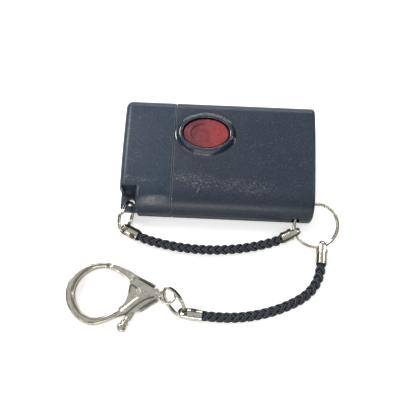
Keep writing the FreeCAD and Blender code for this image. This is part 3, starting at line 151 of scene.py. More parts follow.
class Shader(Net):
    """A material built round one Principled shader."""

    def __init__(self, name, colour, roughness, metallic=0.0):
        self.material = bpy.data.materials.new(name)
        self.material.use_nodes = True
        super().__init__(self.material.node_tree)
        self.principled = self.tree.nodes["Principled BSDF"]
        self.feed("Base Color", colour)
        self.feed("Roughness", roughness)
        self.feed("Metallic", metallic)
        self.place = self.node("ShaderNodeTexCoord").outputs["Object"]

    def feed(self, socket, value):
        """Give one of the shader's own sockets a value or a source."""
        self.give(self.principled.inputs[socket], value)

    def effect(self, group, **values):
        """Place a shared pattern in this material with its own values."""
        placed = self.node("ShaderNodeGroup", node_tree=group.tree)
        self.give(placed.inputs["Place"], self.place)
        for key, value in values.items():
            self.give(placed.inputs[key], value)
        return placed.outputs[0]

    def blend(self, factor, one, other):
        """Mix two colours, each a triple or a source, by a factor."""
        mix = self.node("ShaderNodeMix", data_type="RGBA")
        for socket, value in ((mix.inputs[0], factor), (mix.inputs[6], one), (mix.inputs[7], other)):
            self.give(socket, value)
        return mix.outputs[2]

    def bump(self, height, distance):
        """Raise the surface's normal by a height source; distance in metres."""
        relief = self.node("ShaderNodeBump")
        for key, value in (("Distance", distance), ("Strength", 1.0), ("Height", height)):
            self.give(relief.inputs[key], value)
        self.feed("Normal", relief.outputs["Normal"])


# Speckling: the stretch of noise that turns into specks, and the width over
# which a speckled zone fades in. A mark is whole within a share of its half sizes.
SPECK_FROM, SPECK_TO = 0.60, 0.70
ZONE_FADE = 0.14
MARK_WHOLE = 0.35


def patches_effect():
    """Soft clouds: noise mapped from a low to a high level."""
    net = Effect("patches", {"Place": (), "Scale": 300.0, "Low": 0.35, "High": 0.65})
    given = net.given
    clouds = net.noise(given["Place"], given["Scale"])
    return net.ends(net.band(clouds, given["Low"], given["High"]))


def specks_effect():
    """Small bright specks, thick where a second, coarser noise is high."""
    net = Effect("specks", {"Place": (), "Scale": 2600.0, "Zone": 60.0, "Least": 0.5})
    given = net.given
    fine = net.band(net.noise(given["Place"], given["Scale"], detail=2.0), SPECK_FROM, SPECK_TO)
    most = net.calc("ADD", given["Least"], ZONE_FADE)
    zone = net.band(net.noise(given["Place"], given["Zone"]), given["Least"], most)
    return net.ends(net.calc("MULTIPLY", fine, zone))


def grain_effect():
    """The even fine grain of a moulded or plated skin."""
    net = Effect("grain", {"Place": (), "Scale": 4000.0}, "Height")
    return net.ends(net.noise(net.given["Place"], net.given["Scale"], detail=2.0, roughness=0.6))


def stroke_effect():
    """A soft oval mark.

    The place is taken from the centre and turned; its two parts over the two
    half sizes are squared and added, and the root falls off towards one.
    """
    net = Effect("stroke", {"Place": (), "X": 0.0, "Y": 0.0, "Turn": 0.0, "Long": 0.001, "Wide": 0.001})
    given = net.given
    centre = net.node("ShaderNodeCombineXYZ")
    net.give(centre.inputs["X"], given["X"])
    net.give(centre.inputs["Y"], given["Y"])
    turned = net.node("ShaderNodeVectorRotate", rotation_type="Z_AXIS")
    net.give(turned.inputs["Vector"], net.spread("SUBTRACT", given["Place"], centre.outputs["Vector"]))
    net.give(turned.inputs["Angle"], given["Turn"])
    across = net.calc("DIVIDE", net.part(turned.outputs["Vector"], "X"), given["Long"])
    along = net.calc("DIVIDE", net.part(turned.outputs["Vector"], "Y"), given["Wide"])
    reach = net.calc("SQRT", net.calc("ADD", net.calc("POWER", net.calc("ABSOLUTE", across), 2.0),
                                      net.calc("POWER", net.calc("ABSOLUTE", along), 2.0)))
    return net.ends(net.band(reach, 1.0, MARK_WHOLE))


PATCHES = patches_effect()
SPECKS = specks_effect()
GRAIN = grain_effect()
STROKE = stroke_effect()


# Moulded plastic: the grey of rubbed places, painted highlights and painted sheen; colours of lint and flecks;
# strengths of the specks and the mottling, and of the rub and painted highlight beside the seam, strongest at the
# seam.
WEAR_AND_HIGHLIGHT_GREY = (0.36, 0.36, 0.36)
LINT_COPPER = (0.50, 0.24, 0.16)
FLECK_LIFT = (0.014, 0.015, 0.017)
SPECK_STRENGTH = 0.12
MOTTLE_STRENGTH = 0.30
SEAM_RUB_AND_HIGHLIGHT_STRENGTH = 0.30
SEAM_RUB_AND_HIGHLIGHT_OUTER, SEAM_RUB_AND_HIGHLIGHT_INNER = 0.42, 0.18
LINT_HALF = 0.3
MOULD_GRAIN_HEIGHT = 0.04
# The collar round the button: half sizes, steepness of its edge, and what is
# left of wear, painted highlights and grain on it.
COLLAR_LONG, COLLAR_WIDE = 13.5, 10.9
COLLAR_EDGE = 4.0
COLLAR_WEAR = 0.25
COLLAR_GRAIN = 0.1
COLLAR_ROUGHNESS = 0.18
COLLAR_COAT_ROUGHNESS = 0.06


def moulded(name, dark, light, roughness, shine, marks_and_highlights):
    """Satin moulded plastic: fine grain, faint clouds, a rubbed edge with a painted highlight at the seam, marks of
    use, and painted highlights and sheen.

    Each mark, whether of use or of painted light, is an oval (x, y, turn, half length, half width) in millimetres
    and degrees, its strength and whether it breaks up into specks. The collar
    round the button is smoother than the rest, under a clear coat.
    """
    shader = Shader(name, dark, roughness)
    shader.feed("Specular IOR Level", shine)
    fleck = tuple(part + lift for part, lift in zip(light, FLECK_LIFT))
    colour = shader.blend(shader.effect(PATCHES, Scale=70.0), dark, light)
    colour = shader.blend(shader.effect(PATCHES, Scale=1900.0, Low=0.52, High=0.66), colour, fleck)
    specks = shader.effect(SPECKS, Scale=2100.0, Zone=200.0, Least=0.36)
    mottle = shader.effect(PATCHES, Scale=1700.0, Low=0.50, High=0.64)
    broken = shader.calc("MAXIMUM", shader.effect(SPECKS, Scale=2300.0, Zone=400.0, Least=0.16),
                         shader.calc("MULTIPLY", mottle, MOTTLE_STRENGTH))
    uneven = shader.band(shader.noise(shader.place, 900.0), 0.35, 0.65, start=0.55)

    wear_and_highlights = shader.calc("MULTIPLY", specks, SPECK_STRENGTH)
    # Marks of use, painted highlights and painted sheen, each mixed into the same grey.
    for x, y, turn, half_length, half_width, strength, speckled in marks_and_highlights:
        mark = shader.effect(STROKE, X=x * MM, Y=y * MM, Turn=math.radians(-turn),
                             Long=half_length * MM, Wide=half_width * MM)
        mark = shader.calc("MULTIPLY", mark, broken if speckled else uneven)
        wear_and_highlights = shader.calc("MAXIMUM", wear_and_highlights, shader.calc("MULTIPLY", mark, strength))
    # A light band beside the seam: partly rub, partly a painted highlight of its edges.
    from_seam = shader.calc("SUBTRACT", shader.part(shader.place, "X"), SEAM_X * MM)
    seam_rub_and_highlight = shader.band(shader.calc("ABSOLUTE", from_seam), SEAM_RUB_AND_HIGHLIGHT_OUTER * MM, SEAM_RUB_AND_HIGHLIGHT_INNER * MM,
                           end=SEAM_RUB_AND_HIGHLIGHT_STRENGTH)
    wear_and_highlights = shader.calc("MAXIMUM", wear_and_highlights, seam_rub_and_highlight)

    collar = shader.effect(STROKE, X=BUTTON_X * MM, Y=BUTTON_Y * MM, Long=COLLAR_LONG * MM, Wide=COLLAR_WIDE * MM)
    collar = shader.calc("MINIMUM", shader.calc("MULTIPLY", collar, COLLAR_EDGE), 1.0)
    wear_and_highlights = shader.calc("MULTIPLY", wear_and_highlights, shader.band(collar, 0.0, 1.0, start=1.0, end=COLLAR_WEAR))
    lint = shader.effect(STROKE, X=LINT[0] * MM, Y=LINT[1] * MM, Long=LINT_HALF * MM, Wide=LINT_HALF * MM)
    marked = shader.blend(wear_and_highlights, colour, WEAR_AND_HIGHLIGHT_GREY)
    shader.feed("Base Color", shader.blend(lint, marked, LINT_COPPER))
    shader.feed("Roughness", shader.band(collar, 0.0, 1.0, start=roughness, end=COLLAR_ROUGHNESS))
    shader.feed("Coat Weight", collar)
    shader.feed("Coat Roughness", COLLAR_COAT_ROUGHNESS)
    grain = shader.calc("SUBTRACT", shader.effect(GRAIN, Scale=3600.0), 0.5)
    kept_grain = shader.band(collar, 0.0, 1.0, start=1.0, end=COLLAR_GRAIN)
    shader.bump(shader.calc("MULTIPLY", grain, kept_grain), MOULD_GRAIN_HEIGHT * MM)
    return shader.material


# Nickel plate: clean, hazed, and dark with painted shade in its grooves.
NICKEL_CLEAN = (0.68, 0.655, 0.58)
NICKEL_HAZED = (0.50, 0.47, 0.40)
NICKEL_PAINTED_SHADE = (0.055, 0.05, 0.045)


def nickel(name):
    """Plated metal: warm grey, faint haze, handling marks, and painted shade where a mesh's own attribute asks for
    it.
    """
    shader = Shader(name, (0.62, 0.60, 0.55), 0.15, 1.0)
    haze = shader.effect(PATCHES, Scale=420.0, Low=0.3, High=0.7)
    painted_shade = shader.node("ShaderNodeAttribute", attribute_name="painted_shade").outputs["Fac"]
    plate = shader.blend(haze, NICKEL_CLEAN, NICKEL_HAZED)
    shader.feed("Base Color", shader.blend(painted_shade, plate, NICKEL_PAINTED_SHADE))
    specks = shader.effect(SPECKS, Scale=1900.0, Zone=300.0, Least=0.45)
    shader.feed("Roughness", shader.calc("ADD", shader.band(haze, 0.0, 1.0, start=0.12, end=0.21),
                                         shader.calc("MULTIPLY", specks, 0.12)))
    shader.bump(shader.effect(GRAIN, Scale=700.0), 0.02 * MM)
    return shader.material


# The button's red: two shades where painted shade darkens it towards its left end, two where it is lit,
# the colour and strength of its flecks.
RED_SHADED = ((0.098, 0.023, 0.030), (0.138, 0.027, 0.034))
RED_LIT = ((0.225, 0.027, 0.032), (0.285, 0.031, 0.036))
RED_FLECK = (0.50, 0.22, 0.22)
RED_FLECK_STRENGTH = 0.22


def gloss_red(name):
    """Glossy red plastic, with painted shade that darkens it towards its left end, and small pale specks."""
    shader = Shader(name, (0.40, 0.02, 0.025), 0.28)
    clouds = shader.effect(PATCHES, Scale=420.0)
    # Painted shade: the red darkens from the button's right end to its left.
    left, right = (BUTTON_X - BUTTON_HALF) * MM, (BUTTON_X + BUTTON_HALF) * MM
    shaded_left = shader.band(shader.part(shader.place, "X"), left, right, start=1.0, end=0.0)
    red = shader.blend(shaded_left, shader.blend(clouds, *RED_LIT), shader.blend(clouds, *RED_SHADED))
    specks = shader.effect(SPECKS, Scale=1500.0, Zone=500.0, Least=0.40)
    flecks = shader.calc("MULTIPLY", specks, RED_FLECK_STRENGTH)
    shader.feed("Base Color", shader.blend(flecks, red, RED_FLECK))
    shader.feed("Roughness", shader.band(clouds, 0.0, 1.0, start=0.24, end=0.36))
    shader.bump(shader.effect(GRAIN, Scale=900.0), 0.05 * MM)
    return shader.material


# Yarn: painted shade between strands, the dark of its threads and their painted glint, how far the threads
# are stretched and slanted along a strand. A strand's UV Y is one on its outward
# side, and a painted glint line lies to each side of that, fading out from near to far.
YARN_PAINTED_SHADE = (0.0015, 0.0021, 0.005)
YARN_DARK = (0.012, 0.015, 0.025)
YARN_GLINT = (0.105, 0.125, 0.165)
THREAD_STRETCH = (9.0, 1.4, 1.0)
THREAD_SLANT = 0.35
OUTWARD_SIDE = 1.0
LIGHT_LINE = 0.33
LIGHT_NEAR, LIGHT_FAR = 0.06, 0.25


def yarn(name):
    """Twisted synthetic filament: blue black, with painted glints along its strands and painted shade between them.
    """
    shader = Shader(name, (0.010, 0.012, 0.020), 0.34)
    on_strand = shader.node("ShaderNodeUVMap").outputs["UV"]
    mapping = shader.node("ShaderNodeMapping")
    mapping.inputs["Scale"].default_value = THREAD_STRETCH
    mapping.inputs["Rotation"].default_value = (0.0, 0.0, THREAD_SLANT)
    shader.give(mapping.inputs["Vector"], on_strand)
    threads = shader.band(shader.noise(mapping.outputs["Vector"], 3.0, detail=2.0), 0.36, 0.64)
    from_outward = shader.calc("ABSOLUTE", shader.calc("SUBTRACT", shader.part(on_strand, "Y"), OUTWARD_SIDE))
    from_line = shader.calc("ABSOLUTE", shader.calc("SUBTRACT", from_outward, LIGHT_LINE))
    lit = shader.band(from_line, LIGHT_FAR, LIGHT_NEAR)
    # Base colour: painted shade away from the glint lines, and painted glints along them.
    shader.feed("Base Color", shader.blend(lit, YARN_PAINTED_SHADE, shader.blend(threads, YARN_DARK, YARN_GLINT)))
    shader.feed("Specular IOR Level", 0.5)
    shader.feed("Roughness", shader.calc("MAXIMUM", shader.band(threads, 0.0, 1.0, start=0.40, end=0.28),
                                         shader.band(lit, 0.0, 1.0, start=0.85, end=0.25)))
    shader.feed("Sheen Weight", 0.05)
    shader.feed("Sheen Roughness", 0.4)
    shader.feed("Sheen Tint", (0.70, 0.76, 0.95))
    shader.bump(threads, 0.06 * MM)
    return shader.material


def plain(name, colour, roughness, metallic, fleck, scale):
    """A simple finish with flecks of another colour and a fine grain; scale in features per metre."""
    shader = Shader(name, colour, roughness, metallic)
    flecks = shader.effect(PATCHES, Scale=scale, Low=0.42, High=0.62)
    shader.feed("Base Color", shader.blend(flecks, colour, fleck))
    shader.feed("Roughness", shader.band(flecks, 0.0, 1.0, start=roughness, end=roughness + 0.12))
    shader.bump(shader.effect(GRAIN, Scale=scale * 3.0), 0.02 * MM)
    return shader.material


# Marks of use and painted highlights and sheen: x, y, turn, half length, half width, strength, speckled.
BODY_MARKS_AND_SHEEN = (
    # Painted sheen along the lower shoulder, broken into specks.
    (-6.5, -9.6, -4.0, 11.0, 3.8, 0.54, True),
    (9.0, -11.0, -4.0, 16.0, 3.4, 0.44, True),
    (-12.5, -8.6, 0.0, 4.0, 3.2, 0.58, True),
    (-6.4, -12.9, 70.0, 1.4, 0.22, 0.38, False),
    (-3.8, -11.5, 100.0, 1.0, 0.12, 0.18, False),
)
CAP_MARKS_AND_HIGHLIGHTS = (
    (-28.1, 12.7, -35.0, 0.7, 0.16, 0.55, False),
    # Painted highlight along the notch's top edge, broken into specks.
    (-30.9, -9.6, 20.0, 2.0, 1.1, 0.70, True),
    # Painted sheen along the lower shoulder, broken into specks.
    (-25.0, -9.9, 3.0, 8.0, 1.4, 0.40, True),
    # Painted reflection on the cap's lower shoulder, in two ovals.
    (-21.5, -16.6, 3.0, 7.0, 1.9, 0.34, False),
    (-22.5, -16.3, 8.0, 3.6, 0.9, 0.46, False),
    # Painted highlights on the notch's right edge and on the lug's top edge.
    (-26.95, -13.9, 88.0, 2.6, 0.26, 0.42, False),
    (-30.9, -12.95, 2.6, 3.0, 0.24, 0.55, False),
)
SLATE = moulded("body_plastic", (0.0095, 0.0185, 0.034), (0.0125, 0.0225, 0.039), 0.38, 0.46, BODY_MARKS_AND_SHEEN)
SLATE_CAP = moulded("cap_plastic", (0.016, 0.028, 0.046), (0.020, 0.033, 0.052), 0.34, 0.34, CAP_MARKS_AND_HIGHLIGHTS)
NICKEL = nickel("nickel_plate")
FINISH = {
    "front_shell": SLATE,
    "rear_shell": SLATE,
    "end_cap": SLATE_CAP,
    "button_cap": gloss_red("button_red"),
    "switch_plunger": plain("switch_black", (0.02, 0.02, 0.02), 0.4, 0.0, (0.035, 0.035, 0.035), 900.0),
    "circuit_board": plain("board_green", (0.02, 0.12, 0.05), 0.4, 0.0, (0.03, 0.17, 0.07), 700.0),
    "controller_chip": plain("chip_black", (0.02, 0.02, 0.022), 0.55, 0.0, (0.03, 0.03, 0.03), 1500.0),
    "radio_shield": plain("tinned_steel", (0.55, 0.55, 0.53), 0.32, 1.0, (0.45, 0.45, 0.44), 500.0),
    "spring_contact": plain("contact_bronze", (0.62, 0.36, 0.18), 0.3, 1.0, (0.5, 0.28, 0.13), 800.0),
    "battery_cell": plain("cell_wrap", (0.05, 0.06, 0.09), 0.35, 0.0, (0.08, 0.09, 0.12), 300.0),
    "housing_screws": plain("zinc_screw", (0.5, 0.5, 0.49), 0.34, 1.0, (0.38, 0.38, 0.37), 900.0),
}
SAME_FINISH = {
    "tact_switch": "switch_plunger",
    "crystal_can": "radio_shield",
    "antenna_strip": "spring_contact",
    "cap_contact": "spring_contact",
    "cap_screw": "housing_screws",
}
for follower, leader in SAME_FINISH.items():
    FINISH[follower] = FINISH[leader]
YARN = yarn("braid_yarn")

for label, node in NODES.items():
    if label in ("strap_cord", "tether_cord"):
        continue
    node.data.materials.clear()
    node.data.materials.append(FINISH.get(label, NICKEL))


def make_piece(name, verts, faces, material, uvs=None):
    """A smooth mesh object from vertices in millimetres, faces and one UV pair for each vertex."""
    mesh = bpy.data.meshes.new(name)
    mesh.from_pydata((np.asarray(verts) * MM).tolist(), [], faces)
    mesh.polygons.foreach_set("use_smooth", [True] * len(mesh.polygons))
    if uvs is not None:
        layer = mesh.uv_layers.new(name="UVMap")
        loops = np.empty(len(mesh.loops), dtype=np.int32)
        mesh.loops.foreach_get("vertex_index", loops)
        layer.data.foreach_set("uv", np.asarray(uvs)[loops].ravel())
    mesh.materials.append(material)
    mesh.update()
    piece = bpy.data.objects.new(name, mesh)
    bpy.context.scene.collection.objects.link(piece)
    return piece


def vertex_values(mesh, kind):
    """One row for each vertex of a mesh, of its places or its normals."""
    values = np.empty(len(mesh.vertices) * 3)
    mesh.vertices.foreach_get(kind, values)
    return values.reshape(-1, 3)


def tube_faces(sides, length, start=0):
    """Faces of a capped tube whose vertices run along it, one side after another.

    Side and step make a grid; each face joins a step to the next on one side
    and on the side beside it, and a many-sided face closes each end.
    """
    side, step = np.meshgrid(np.arange(sides), np.arange(length - 1), indexing="ij")
    here = start + side * length + step
    beside = start + (side + 1) % sides * length + step
    walls = np.stack([here, here + 1, beside + 1, beside], 2).reshape(-1, 4)
    first = start + np.arange(sides) * length
    return walls.tolist() + [first.tolist(), (first + length - 1)[::-1].tolist()]


def route_curve(name, route):
    """A smooth curve object with the route's points as its control points."""
    data = bpy.data.curves.new(name, "CURVE")
    data.dimensions = "3D"
    spline = data.splines.new("NURBS")
    spline.points.add(len(route) - 1)
    for point, place in zip(spline.points, route):
        point.co = (*(part * MM for part in place), 1.0)
    spline.order_u = 3
    spline.use_endpoint_u = True
    data.resolution_u = 16
    curve = bpy.data.objects.new(name, data)
    bpy.context.scene.collection.objects.link(curve)
    return curve


def route_line(route, step):
    """Evenly spaced points in millimetres along a route's smooth curve."""
    curve = route_curve("route_guide", route)
    bpy.context.view_layer.update()
    mesh = bpy.data.meshes.new_from_object(curve.evaluated_get(bpy.context.evaluated_depsgraph_get()))
    points = vertex_values(mesh, "co") / MM
    bpy.data.meshes.remove(mesh)
    bpy.data.objects.remove(curve)
    from_start = np.linalg.norm(points - np.array(route[0]), axis=1)
    if from_start[0] > from_start[-1]:
        points = points[::-1]
    spans = np.linalg.norm(np.diff(points, axis=0), axis=1)
    along = np.concatenate([[0.0], np.cumsum(spans)])
    count = int(round(along[-1] / step)) + 1
    wanted = np.linspace(0.0, along[-1], count)
    return np.stack([np.interp(wanted, along, points[:, axis]) for axis in range(3)], 1), wanted


def frames_along(points):
    """Two directions across a line at each of its points, carried along untwisted.

    The first direction at a point is the one before it less its share along
    the line, made one long again; the second is square to it and to the line.
    """
    tangents = np.gradient(points, axis=0)
    tangents /= np.linalg.norm(tangents, axis=1, keepdims=True)
    across = np.array([0.0, 0.0, 1.0])
    ups = []
    for tangent in tangents:
        across = across - tangent * across.dot(tangent)
        across /= np.linalg.norm(across)
        ups.append(across)
    ups = np.array(ups)
    return ups, np.cross(tangents, ups)


# Plait: strands per direction, distance between neighbours of one direction,
# mean radius, swing between over and under, how rounded that swing is, strand
# half sizes, sides and step; UV length in millimetres and UV units round a strand.
PLAIT_STRANDS = 4
PLAIT_PITCH = 2.6
PLAIT_RADIUS = 1.04
PLAIT_SWING = 0.32
PLAIT_ROUNDING = 0.12
STRAND_WIDE = 0.70
STRAND_THICK = 0.48
STRAND_SIDES = 10
PLAIT_STEP = 0.22
UV_LENGTH = 2.0
UV_ROUND = 4.0
# The filling inside the plait.
CORE_RADIUS = 0.85
CORE_STEP = 0.8
CORE_SIDES = 12


def plait(name, route, turn):
    """Eight strands that wind both ways, each over two and under two.

    A strand's angle grows in proportion to the length along the cord; its
    radius swings with twice that angle, so the strands that wind one way lie
    on top in two quarters and those that wind the other way in the rest. Its
    section is an ellipse, wide along the cord's skin.
    """
    centre, along = route_line(route, PLAIT_STEP)
    ups, sides = frames_along(centre)
    lead = PLAIT_STRANDS * PLAIT_PITCH
    around = (2 * np.pi * np.arange(STRAND_SIDES) / STRAND_SIDES)[:, None, None]
    side_uv, along_uv = np.meshgrid(np.arange(STRAND_SIDES) / STRAND_SIDES * UV_ROUND, along / UV_LENGTH,
                                    indexing="ij")
    verts, faces = [], []
    for way in (1, -1):
        for number in range(PLAIT_STRANDS):
            angle = way * 2 * np.pi * along / lead + 2 * np.pi * (number + 0.25 * way) / PLAIT_STRANDS
            wave = np.sin(2 * angle)
            lift = way * wave / np.sqrt(wave ** 2 + PLAIT_ROUNDING)
            radius = PLAIT_RADIUS + PLAIT_SWING * lift
            outward = np.cos(angle + turn)[:, None] * ups + np.sin(angle + turn)[:, None] * sides
            line = centre + radius[:, None] * outward
            heading = np.gradient(line, axis=0)
            heading /= np.linalg.norm(heading, axis=1, keepdims=True)
            flat = np.cross(heading, outward)
            flat /= np.linalg.norm(flat, axis=1, keepdims=True)
            rise = np.cross(flat, heading)
            strand = line + STRAND_WIDE * np.cos(around) * flat + STRAND_THICK * np.sin(around) * rise
            faces += tube_faces(STRAND_SIDES, len(along), start=len(verts) * STRAND_SIDES * len(along))
            verts.append(strand.reshape(-1, 3))
    uvs = np.tile(np.stack([along_uv, side_uv], 2).reshape(-1, 2), (len(verts), 1))
    return make_piece(name, np.concatenate(verts), faces, YARN, uvs), centre


def core(name, route):
    """A dark round filling inside the plait: a circle carried along the route."""
    centre, _ = route_line(route, CORE_STEP)
    ups, sides = frames_along(centre)
    around = (2 * np.pi * np.arange(CORE_SIDES) / CORE_SIDES)[:, None, None]
    skin = centre + CORE_RADIUS * (np.cos(around) * ups - np.sin(around) * sides)
    return make_piece(name, skin.reshape(-1, 3), tube_faces(CORE_SIDES, len(centre)), YARN)


# Clasp: middle height, highest half heights of cheeks and hook, and half heights
# left alone in them (in the cheeks, the gate's slot), in millimetres. The
# cheeks' left edge crosses the hook along a line, blended over a stretch.
CLASP_MIDDLE = 2.3
CHEEK_HALF = 2.2
HOOK_HALF = 1.65
CHEEK_CORE = 1.06
HOOK_CORE = 0.2
CHEEK_EDGE = ((-28.2, -44.2), (-31.4, -53.6))
CHEEK_BLEND = (-1.6, 1.0)
HOOK_CENTRE = (-39.3, -47.6)
PIVOT = (-23.9, -47.7)
# Gate: half heights of its arms and of its tongue.
GATE_HALF = 1.5
TONGUE_HALF = 0.86
# Outline of the clasp: a vertex counts as on it where its normal lies flat, at
# a half height within these bands, and further than the pin's bore from the pivot.
FLAT_NORMAL = 0.35
CHEEK_RIM = (1.12, 1.72)
HOOK_RIM = (0.3, 0.95)
GATE_RIM = (0.86, 1.3)
PIN_BORE = 1.2
# Rounding: reach from the outline and drop at the outline, in hook and cheeks;
# the hook's further slope, its drop and reach; the gate's drop and reach.
HOOK_REACH, CHEEK_REACH = 1.9, 1.1
HOOK_DROP, CHEEK_DROP = 0.35, 0.60
SLOPE_DROP, SLOPE_REACH = 0.92, 1.7
GATE_DROP, GATE_REACH = 0.5, 1.0
# Ridge and grooves: rise and half width, depth and half width, and the hook's
# two grooves (distance from the edge, half width, strength).
RIDGE_RISE, RIDGE_WIDE = 0.15, 0.6
GROOVE_DEPTH, GROOVE_WIDE = 0.16, 0.30
INNER_GROOVE = (0.75, 0.25, 0.7)
EDGE_GROOVE = (0.5, 0.2, 0.4)
# Strength of the painted shade in the grooves and beside the hook's edges.
GROOVE_PAINTED_SHADE = 0.9
# Half width of the painted shade along the gate's slot line.
SLOT_SHADE_WIDE = 0.6
# Least half height: full at the pin, less by this drop beyond the stretch.
FLOOR_DROP = 0.15
FLOOR_STRETCH = (0.7, 2.8)
UPPER_SIDE = 0.3
# Guide lines in plan of the ridge and the grooves cast into the cheeks.
RIDGE = [(-17.6, -47.3), (-20.0, -47.5), (-22.4, -48.0), (-24.6, -49.0), (-26.4, -50.3), (-28.2, -52.0),
         (-30.2, -53.9), (-33.3, -55.6), (-36.1, -56.3)]
GROOVES = (
    [(-20.0, -48.5), (-21.9, -49.1), (-23.8, -50.1), (-25.4, -51.3), (-27.0, -52.8), (-28.5, -54.2), (-30.1, -55.2)],
    [(-19.2, -49.4), (-21.1, -50.4), (-22.7, -51.7), (-24.1, -52.8)],
    [(-28.3, -47.0), (-28.2, -45.6), (-27.9, -44.8), (-27.1, -44.9), (-26.1, -45.6)],
    [(-18.5, -49.6), (-20.3, -50.5), (-21.7, -51.5), (-22.8, -52.8)],
)
# Guide line in plan of the painted shade beside the gate's slot.
SLOT_LINE = [(-25.2, -42.6), (-23.4, -43.3), (-21.4, -44.3), (-19.4, -45.4)]


# Cutting a copy finer: longest edges of each pass, first everywhere, then on
# the upper side alone, which starts a little above the middle; the distance
# that merges doubles, and the angle under which two faces count as one plane.
CUTS_EVERYWHERE = (4.0, 2.0, 1.0, 0.8)
CUTS_ABOVE = (0.5, 0.4, 0.3)
ABOVE_MIDDLE = 0.25
MERGE_DISTANCE = 1e-7
ONE_PLANE = 0.02
CLASP_EDGE, GATE_EDGE = 0.22, 0.25
SHARP_ANGLE = 45.0
# Guide points on each straight run, and places compared with them at a time.
POINTS_ON_RUN = 40
PLACES_IN_BLOCK = 2000


def refined(source, name, fine):
    """A copy of a node's mesh, merged, then cut and re-triangulated; its upper side finer than the rest."""
    work = bmesh.new()
    work.from_mesh(source.data)
    bmesh.ops.remove_doubles(work, verts=work.verts[:], dist=MERGE_DISTANCE)
    bmesh.ops.triangulate(work, faces=work.faces[:])
    above = (CLASP_MIDDLE + ABOVE_MIDDLE) * MM
    for longest in (*CUTS_EVERYWHERE, *CUTS_ABOVE, fine, fine):
        everywhere = longest in CUTS_EVERYWHERE
        long = [edge for edge in work.edges if edge.calc_length() > longest * MM and (
            everywhere or min(edge.verts[0].co.z, edge.verts[1].co.z) > above)]
        bmesh.ops.subdivide_edges(work, edges=long, cuts=1)
        bmesh.ops.triangulate(work, faces=[face for face in work.faces if len(face.verts) > 3])
        flat = [edge for edge in work.edges if edge.is_manifold and edge.calc_face_angle() < ONE_PLANE]
        bmesh.ops.beautify_fill(work, faces=work.faces[:], edges=flat, method="ANGLE")
    mesh = bpy.data.meshes.new(name)
    work.to_mesh(mesh)
    work.free()
    return mesh


def nearest(plan, samples):
    """Distance in plan from each place to the nearest sample, worked out block by block."""
    blocks = np.array_split(plan, max(1, len(plan) // PLACES_IN_BLOCK))
    return np.concatenate([
        np.sqrt(((block[:, None, :] - samples[None, :, :]) ** 2).sum(axis=2).min(axis=1)) for block in blocks])


def smooth_step(value, low, high):
    """Zero below low, one above high, and between them three squares less two cubes of the share."""
    share = np.clip((value - low) / (high - low), 0.0, 1.0)
    return share * share * (3.0 - 2.0 * share)


def between(hook, cheeks, share):
    """The hook's value where the cheeks' share is zero, the cheeks' value where it is one."""
    return hook + (cheeks - hook) * share


def inside(level, band):
    """True where a level lies in a band."""
    return (level > band[0]) & (level < band[1])


def guide(corners):
    """Closely spaced points along straight runs between corners."""
    stops = np.linspace(0.0, len(corners) - 1.0, POINTS_ON_RUN * (len(corners) - 1))
    return np.stack([np.interp(stops, np.arange(len(corners)), axis) for axis in np.array(corners).T], 1)


def bell(distance, width):
    """One at no distance, falling off as a bell curve: e to the minus square of distance over width."""
    return np.exp(-(distance / width) ** 2)


def crest(plan, corners, width):
    """A bell curve over the distance from a guide line."""
    return bell(nearest(plan, guide(corners)), width)


def off_line(plan, line):
    """Signed distance in plan from the straight line through two points, positive to its left."""
    (x0, y0), (x1, y1) = line
    way = np.array([x1 - x0, y1 - y0]) / math.hypot(x1 - x0, y1 - y0)
    return way[0] * (plan[:, 1] - y0) - way[1] * (plan[:, 0] - x0)


def finish_relief(mesh, name, places, painted_shade, body, node):
    """Give displaced places and painted shade back to a mesh and make it the visual piece of a node."""
    mesh.vertices.foreach_set("co", (places * MM).ravel())
    mesh.attributes.new("painted_shade", "FLOAT", "POINT").data.foreach_set("value", painted_shade)
    mesh.polygons.foreach_set("use_smooth", [True] * len(mesh.polygons))
    mesh.set_sharp_from_angle(angle=math.radians(SHARP_ANGLE))
    mesh.materials.clear()
    mesh.materials.append(NICKEL)
    mesh.update()
    piece = bpy.data.objects.new(name, mesh)
    bpy.context.scene.collection.objects.link(piece)
    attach(piece, body)
    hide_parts(node)
    return piece


def quarter_ellipse(distance, reach):
    """One at the outline, falling to zero at the reach along a quarter ellipse."""
    return 1.0 - np.sqrt(1.0 - (1.0 - np.clip(distance / reach, 0.0, 1.0)) ** 2)


def pressed(level, core_half, full_half, target):
    """Heights above the core scaled so that the full half height comes down to the target."""
    share = np.clip((level - core_half) / (full_half - core_half), 0.0, 1.0)
    return np.where(level > core_half, core_half + share * (target - core_half), level)


